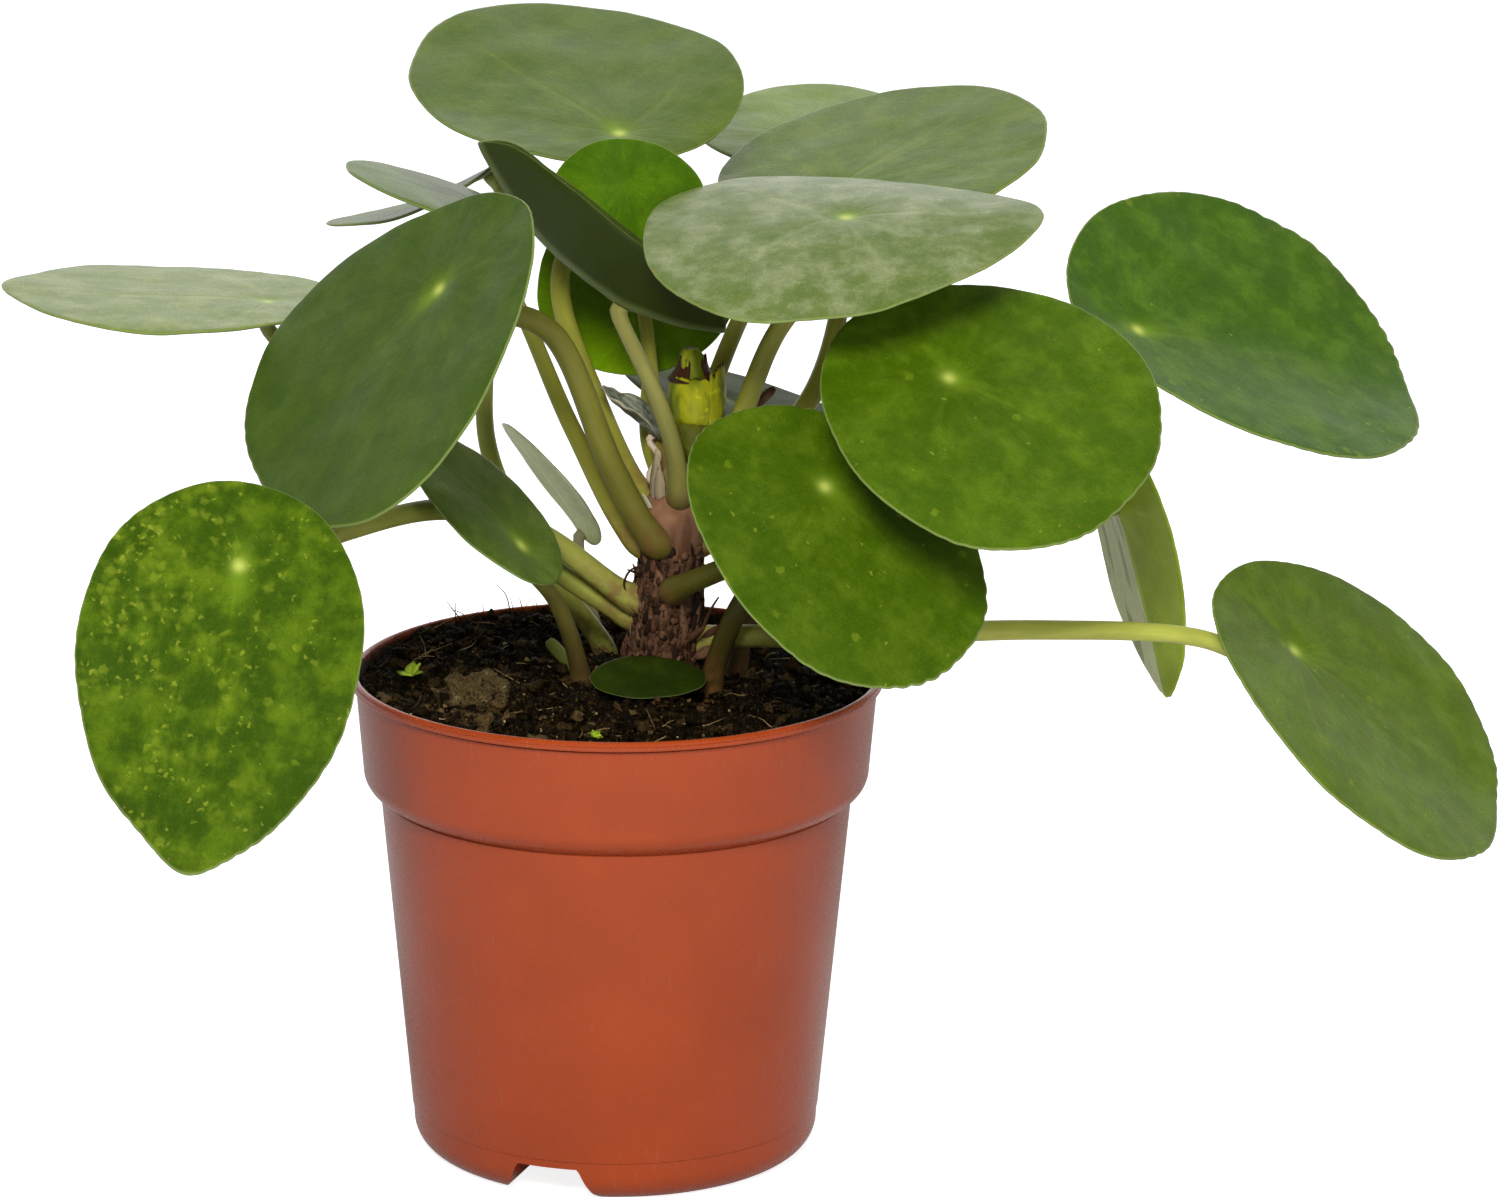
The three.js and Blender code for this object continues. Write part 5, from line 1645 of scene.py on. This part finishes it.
def stalk_widths(leaf, path, flare, foot):
    """Radius along a stalk: a taper, wider over its last millimetres and at its foot."""
    root, top = leaf["stalk"]
    share = np.linspace(0, 1, len(path))
    way = share * np.linalg.norm(np.diff(path, axis=0), axis=1).sum()
    start = STEM_DEPTH if "soil" in leaf else trunk_at(leaf["trunk"][0])[1]
    swell = foot * np.exp(-(((way - start) / 4) ** 2))
    end = flare * np.exp(-(((way - way[-1]) / 2.5) ** 2))
    return (root + (top - root) * share) / 2 + swell + end, share


def make_stalks(settings):
    """The stalks of all the leaves, most of them in the same olive green."""
    shared = stalk_material("stalk_olive", *OLIVE)
    for leaf in LEAVES:
        name = leaf["name"]
        path = stalk_path(leaf)
        radii, share = stalk_widths(leaf, path, settings.flare * METRE, 0.4 if "soil" in leaf else 0.8)
        points, faces, place = tube(path, radii, STALK_SIDES)
        tints = STALK_TINTS.get(name)
        material = stalk_material(f"stalk_{name}", *tints) if tints else shared
        piece(f"stem_{name}", points, faces, material, "stalk", (f"stalk_{name}",),
              stem_place=place, stem_share=np.repeat(share, STALK_SIDES))


def make_dried_leaf(settings):
    """The curled dried leaf and its thin pale stalk, in one mesh."""
    leaf = dict(DRIED, length=DRIED["length"] * settings.size)
    points, faces, place, _ = blade_mesh(leaf, DRIED_GRID, 0.5, 0.5)
    reach = place[:, 2]
    points = points + np.outer(unevenness(points, 3.0, 0.7, 3), blade_axes(leaf)[2])
    path = stalk_path(DRIED)
    radii, _ = stalk_widths(DRIED, path, 0.2, 0.3)
    stem, stem_faces, stem_place = tube(path, radii, 10)
    faces = faces + [tuple(len(points) + i for i in face) for face in stem_faces]
    place = np.concatenate((place * (1, 1, 0), stem_place))
    rim = np.clip((np.concatenate((reach, np.ones(len(stem)))) - 0.9) * 10, 0, 1)
    rim[: len(points)] *= 0.4
    grey = withered_material("dried_leaf", (0.1, 0.11, 0.07), (0.26, 0.28, 0.2), (0.6, 0.47, 0.34))
    piece("dried_leaf", np.concatenate((points, stem)), faces, grey, "dry", ("leaf_dried",),
          stem_place=place, tone=rim)


def make_stubs(settings):
    """What is left of two leaves that came off."""
    green, fresh = (0.16, 0.19, 0.03), (0.22, 0.25, 0.05)
    pink, pale, brown = (0.25, 0.1, 0.06), (0.4, 0.22, 0.14), (0.05, 0.02, 0.01)
    looks = {
        "stub_left": stalk_material("stub_green", green, fresh),
        "stub_right": withered_material("stub_pink", pink, pale, brown),
    }
    for stub in STUBS:
        name = stub["name"]
        path = smooth_path(stem_knots(stub), 0.7)
        root, top = stub["stalk"]
        share = np.linspace(0, 1, len(path))
        torn = 1 + 0.12 * np.sin(9 * share) - 0.5 * np.clip((share - 0.93) / 0.07, 0, 1) ** 2
        radii = (root + (top - root) * share) / 2 * torn
        points, faces, place = tube(path, radii, STUB_SIDES, settings.flatness)
        piece(f"torn_{name}", points, faces, looks[name], stub["slot"], (name,), stem_place=place,
              stem_share=np.repeat(share, STUB_SIDES), tone=np.repeat(share**12, STUB_SIDES))


def make_camera():
    """The camera at the photograph's place, with its pitch, its small roll and its yaw."""
    pitch, roll, yaw = map(math.radians, (CAMERA_PITCH, CAMERA_ROLL, CAMERA_YAW))
    forward = Vector((math.sin(yaw) * math.cos(pitch), math.cos(yaw) * math.cos(pitch), -math.sin(pitch)))
    right = Vector((math.cos(yaw), -math.sin(yaw), 0))
    up = right.cross(forward)
    side = right * math.cos(roll) + up * math.sin(roll)
    top = up * math.cos(roll) - right * math.sin(roll)
    lens = bpy.data.cameras.new("camera")
    lens.lens, lens.sensor_width = CAMERA_LENS, 36
    camera = placed("camera", lens)
    camera.matrix_world = Matrix((
        (side.x, top.x, -forward.x, 0),
        (side.y, top.y, -forward.y, -CAMERA_DISTANCE),
        (side.z, top.z, -forward.z, CAMERA_HEIGHT),
        (0, 0, 0, 1),
    ))
    bpy.context.scene.camera = camera


def soft_light(name, place, target, size, power):
    """A round area lamp that shines on the target and isn't mirrored."""
    lamp = bpy.data.lights.new(name, "AREA")
    lamp.shape, lamp.size, lamp.energy = "DISK", size, power
    made = placed(name, lamp)
    made.location = place
    made.rotation_euler = (Vector(target) - Vector(place)).to_track_quat("-Z", "Y").to_euler()
    made.visible_glossy = False


def floor_material(glow):
    """White floor. It looks bright from the camera and lights the plant less than it looks."""
    material, tree = blank("floor_white")
    seen = node(tree, "ShaderNodeLightPath").outputs["Is Camera Ray"]
    return surface(material, (0.6, 0.6, 0.6), 0.8, Specular_IOR_Level=0.0, Emission_Color=(1, 1, 1),
                   Emission_Strength=times(tree, seen, glow))


def make_world(front, back):
    """Surroundings that are white behind the plant and darker in front of it and beside it."""
    world = bpy.data.worlds.new("studio")
    world.use_nodes = True
    tree = world.node_tree
    way = split(tree, node(tree, "ShaderNodeTexCoord").outputs["Generated"])
    strength = ramp(tree, way[1], 0.35, 1.05, front, back)
    fill(tree, tree.nodes["Background"], {"Strength": strength, "Color": (1, 1, 1)})
    bpy.context.scene.world = world


def make_stage(settings):
    """White floor, surroundings, soft lights and the camera."""
    half = settings.floor_size / 2
    mesh = bpy.data.meshes.new("floor")
    corners = [(-half, -half, 0), (half, -half, 0), (half, half, 0), (-half, half, 0)]
    mesh.from_pydata(corners, [], [(0, 1, 2, 3)])
    mesh.materials.append(floor_material(settings.floor_glow))
    placed("floor", mesh)
    make_world(settings.front_light, settings.back_light)
    bpy.context.scene.view_settings.view_transform = "Standard"
    soft_light("key", (-0.15, -1.35, 1.1), (0.02, 0, 0.14), 0.5, settings.key_power)
    soft_light("fill", (0.75, -1.35, 0.55), (0.02, 0, 0.1), 0.6, settings.fill_power)
    soft_light("top", (0.1, 0.5, 1.4), (0.02, 0, 0.2), 0.8, settings.top_power)
    make_camera()


class PileaPot(bpy.types.PropertyGroup):
    colour: bpy.props.FloatVectorProperty(
        name="Colour", description="Terracotta colour of the plastic", subtype="COLOR",
        default=(0.325, 0.046, 0.0075), min=0, max=1,
    )


class PileaSoil(bpy.types.PropertyGroup):
    clods: bpy.props.IntProperty(
        name="Clods", description="Number of small clods on the soil", default=1500, min=0, max=3000,
    )
    fibres: bpy.props.IntProperty(
        name="Fibres", description="Number of peat fibres on the soil", default=600, min=0, max=1500,
    )


class PileaStem(bpy.types.PropertyGroup):
    roughness: bpy.props.FloatProperty(
        name="Bark roughness", description="Depth of the bark's furrows", unit="LENGTH",
        default=0.0011, min=0, max=0.003, precision=4,
    )
    flakes: bpy.props.IntProperty(
        name="Flakes", description="Number of small scales on the trunk", default=260, min=0, max=800,
    )
    flare: bpy.props.FloatProperty(
        name="Flare", description="How much wider a stalk is where it meets its blade", unit="LENGTH",
        default=0.0004, min=0, max=0.002, precision=4,
    )
    flatness: bpy.props.FloatProperty(
        name="Stub flatness", description="Thickness of a dried stub over its width", default=0.8,
        min=0.3, max=1, subtype="FACTOR",
    )


class PileaLeaves(bpy.types.PropertyGroup):
    scallop: bpy.props.FloatProperty(
        name="Scallops", description="Depth of the small scallops on a blade's rim", unit="LENGTH",
        default=0.00045, min=0, max=0.002, precision=5,
    )
    relief: bpy.props.FloatProperty(
        name="Relief", description="Height of the soft bumps on a blade", unit="LENGTH",
        default=0.0008, min=0, max=0.003, precision=4,
    )
    size: bpy.props.FloatProperty(
        name="Dried leaf", description="Length of the dried leaf against its solid", default=1.0,
        min=0.8, max=1.05, subtype="FACTOR",
    )


class PileaStage(bpy.types.PropertyGroup):
    floor_size: bpy.props.FloatProperty(
        name="Floor size", description="Width of the white floor", unit="LENGTH", default=60.0,
        min=5, max=200,
    )
    floor_glow: bpy.props.FloatProperty(
        name="Floor glow", description="Light that the camera sees on the floor, which keeps it white",
        default=0.85, min=0, max=2,
    )
    front_light: bpy.props.FloatProperty(
        name="Front surroundings", description="Strength of the surroundings in front of the plant",
        default=0.16, min=0, max=5,
    )
    back_light: bpy.props.FloatProperty(
        name="Back surroundings", description="Strength of the white surroundings behind the plant",
        default=1.5, min=0, max=5,
    )
    key_power: bpy.props.FloatProperty(
        name="Key light", description="Soft light from the front left", unit="POWER", default=27.0,
        min=0, max=200,
    )
    fill_power: bpy.props.FloatProperty(
        name="Fill light", description="Soft low light from the front right", unit="POWER", default=6.0,
        min=0, max=200,
    )
    top_power: bpy.props.FloatProperty(
        name="Top light", description="Soft light from above and behind", unit="POWER", default=8.0,
        min=0, max=200,
    )


class PILEA_OT_pot(bpy.types.Operator):
    """Make the plastic nursery pot with its rim, collar and drainage notches"""

    bl_idname = "pilea.make_pot"
    bl_label = "Pot"

    def execute(self, context):
        make_pot(context.scene.pilea_pot)
        return {"FINISHED"}


class PILEA_OT_soil(bpy.types.Operator):
    """Make the clodded peat that fills the pot"""

    bl_idname = "pilea.make_soil"
    bl_label = "Soil"

    def execute(self, context):
        make_soil()
        return {"FINISHED"}


class PILEA_OT_litter(bpy.types.Operator):
    """Make the clods, the clump, the fibres, chips and grains that lie on the soil"""

    bl_idname = "pilea.make_litter"
    bl_label = "Litter on the soil"

    def execute(self, context):
        make_litter(context.scene.pilea_soil)
        return {"FINISHED"}


class PILEA_OT_seedlings(bpy.types.Operator):
    """Make the tiny seedlings on the soil"""

    bl_idname = "pilea.make_seedlings"
    bl_label = "Seedlings"

    def execute(self, context):
        make_seedlings()
        return {"FINISHED"}


class PILEA_OT_trunk(bpy.types.Operator):
    """Make the short trunk with its bark and swelling"""

    bl_idname = "pilea.make_trunk"
    bl_label = "Trunk"

    def execute(self, context):
        make_trunk(context.scene.pilea_stem)
        return {"FINISHED"}


class PILEA_OT_flakes(bpy.types.Operator):
    """Make the scales, the curled filament and the stipules on the trunk"""

    bl_idname = "pilea.make_flakes"
    bl_label = "Scales on the trunk"

    def execute(self, context):
        make_flakes(context.scene.pilea_stem)
        return {"FINISHED"}


class PILEA_OT_bud(bpy.types.Operator):
    """Make the bud: cup, hood and sheath"""

    bl_idname = "pilea.make_bud"
    bl_label = "Bud"

    def execute(self, context):
        make_bud()
        return {"FINISHED"}


class PILEA_OT_blades(bpy.types.Operator):
    """Make the round blades of all the leaves"""

    bl_idname = "pilea.make_blades"
    bl_label = "Blades"

    def execute(self, context):
        make_blades(context.scene.pilea_leaves)
        return {"FINISHED"}


class PILEA_OT_stalks(bpy.types.Operator):
    """Make the stalks of all the leaves"""

    bl_idname = "pilea.make_stalks"
    bl_label = "Stalks"

    def execute(self, context):
        make_stalks(context.scene.pilea_stem)
        return {"FINISHED"}


class PILEA_OT_dried_leaf(bpy.types.Operator):
    """Make the curled dried leaf in front of the bud"""

    bl_idname = "pilea.make_dried_leaf"
    bl_label = "Dried leaf"

    def execute(self, context):
        make_dried_leaf(context.scene.pilea_leaves)
        return {"FINISHED"}


class PILEA_OT_stubs(bpy.types.Operator):
    """Make the stubs of the two leaves that came off"""

    bl_idname = "pilea.make_stubs"
    bl_label = "Stubs"

    def execute(self, context):
        make_stubs(context.scene.pilea_stem)
        return {"FINISHED"}


class PILEA_OT_stage(bpy.types.Operator):
    """Make the white floor, the lights and the camera"""

    bl_idname = "pilea.make_stage"
    bl_label = "Stage"

    def execute(self, context):
        make_stage(context.scene.pilea_stage)
        return {"FINISHED"}


SETTINGS = (
    ("pilea_pot", PileaPot), ("pilea_soil", PileaSoil), ("pilea_stem", PileaStem),
    ("pilea_leaves", PileaLeaves), ("pilea_stage", PileaStage),
)
OPERATORS = (
    PILEA_OT_pot, PILEA_OT_soil, PILEA_OT_litter, PILEA_OT_seedlings, PILEA_OT_trunk,
    PILEA_OT_flakes, PILEA_OT_bud, PILEA_OT_blades, PILEA_OT_stalks, PILEA_OT_dried_leaf,
    PILEA_OT_stubs, PILEA_OT_stage,
)


class PILEA_PT_pieces(bpy.types.Panel):
    """Lists the plant's pieces and their settings"""

    bl_label = "Potted Pilea"
    bl_space_type = "VIEW_3D"
    bl_region_type = "UI"
    bl_category = "Pilea"

    def draw(self, context):
        for name, settings in SETTINGS:
            box = self.layout.box()
            for label in settings.__annotations__:
                box.prop(getattr(context.scene, name), label)
        for maker in OPERATORS:
            self.layout.operator(maker.bl_idname)


def register():
    for name, settings in SETTINGS:
        bpy.utils.register_class(settings)
        setattr(bpy.types.Scene, name, bpy.props.PointerProperty(type=settings))
    for kind in (*OPERATORS, PILEA_PT_pieces):
        bpy.utils.register_class(kind)


def unregister():
    for kind in (PILEA_PT_pieces, *reversed(OPERATORS)):
        bpy.utils.unregister_class(kind)
    for name, settings in reversed(SETTINGS):
        delattr(bpy.types.Scene, name)
        bpy.utils.unregister_class(settings)


def main():
    """Makes everything in order."""
    register()
    bpy.ops.pilea.make_pot()
    bpy.ops.pilea.make_soil()
    bpy.ops.pilea.make_litter()
    bpy.ops.pilea.make_seedlings()
    bpy.ops.pilea.make_trunk()
    bpy.ops.pilea.make_flakes()
    bpy.ops.pilea.make_bud()
    bpy.ops.pilea.make_blades()
    bpy.ops.pilea.make_stalks()
    bpy.ops.pilea.make_dried_leaf()
    bpy.ops.pilea.make_stubs()
    bpy.ops.pilea.make_stage()


if __name__ == "__main__":
    main()
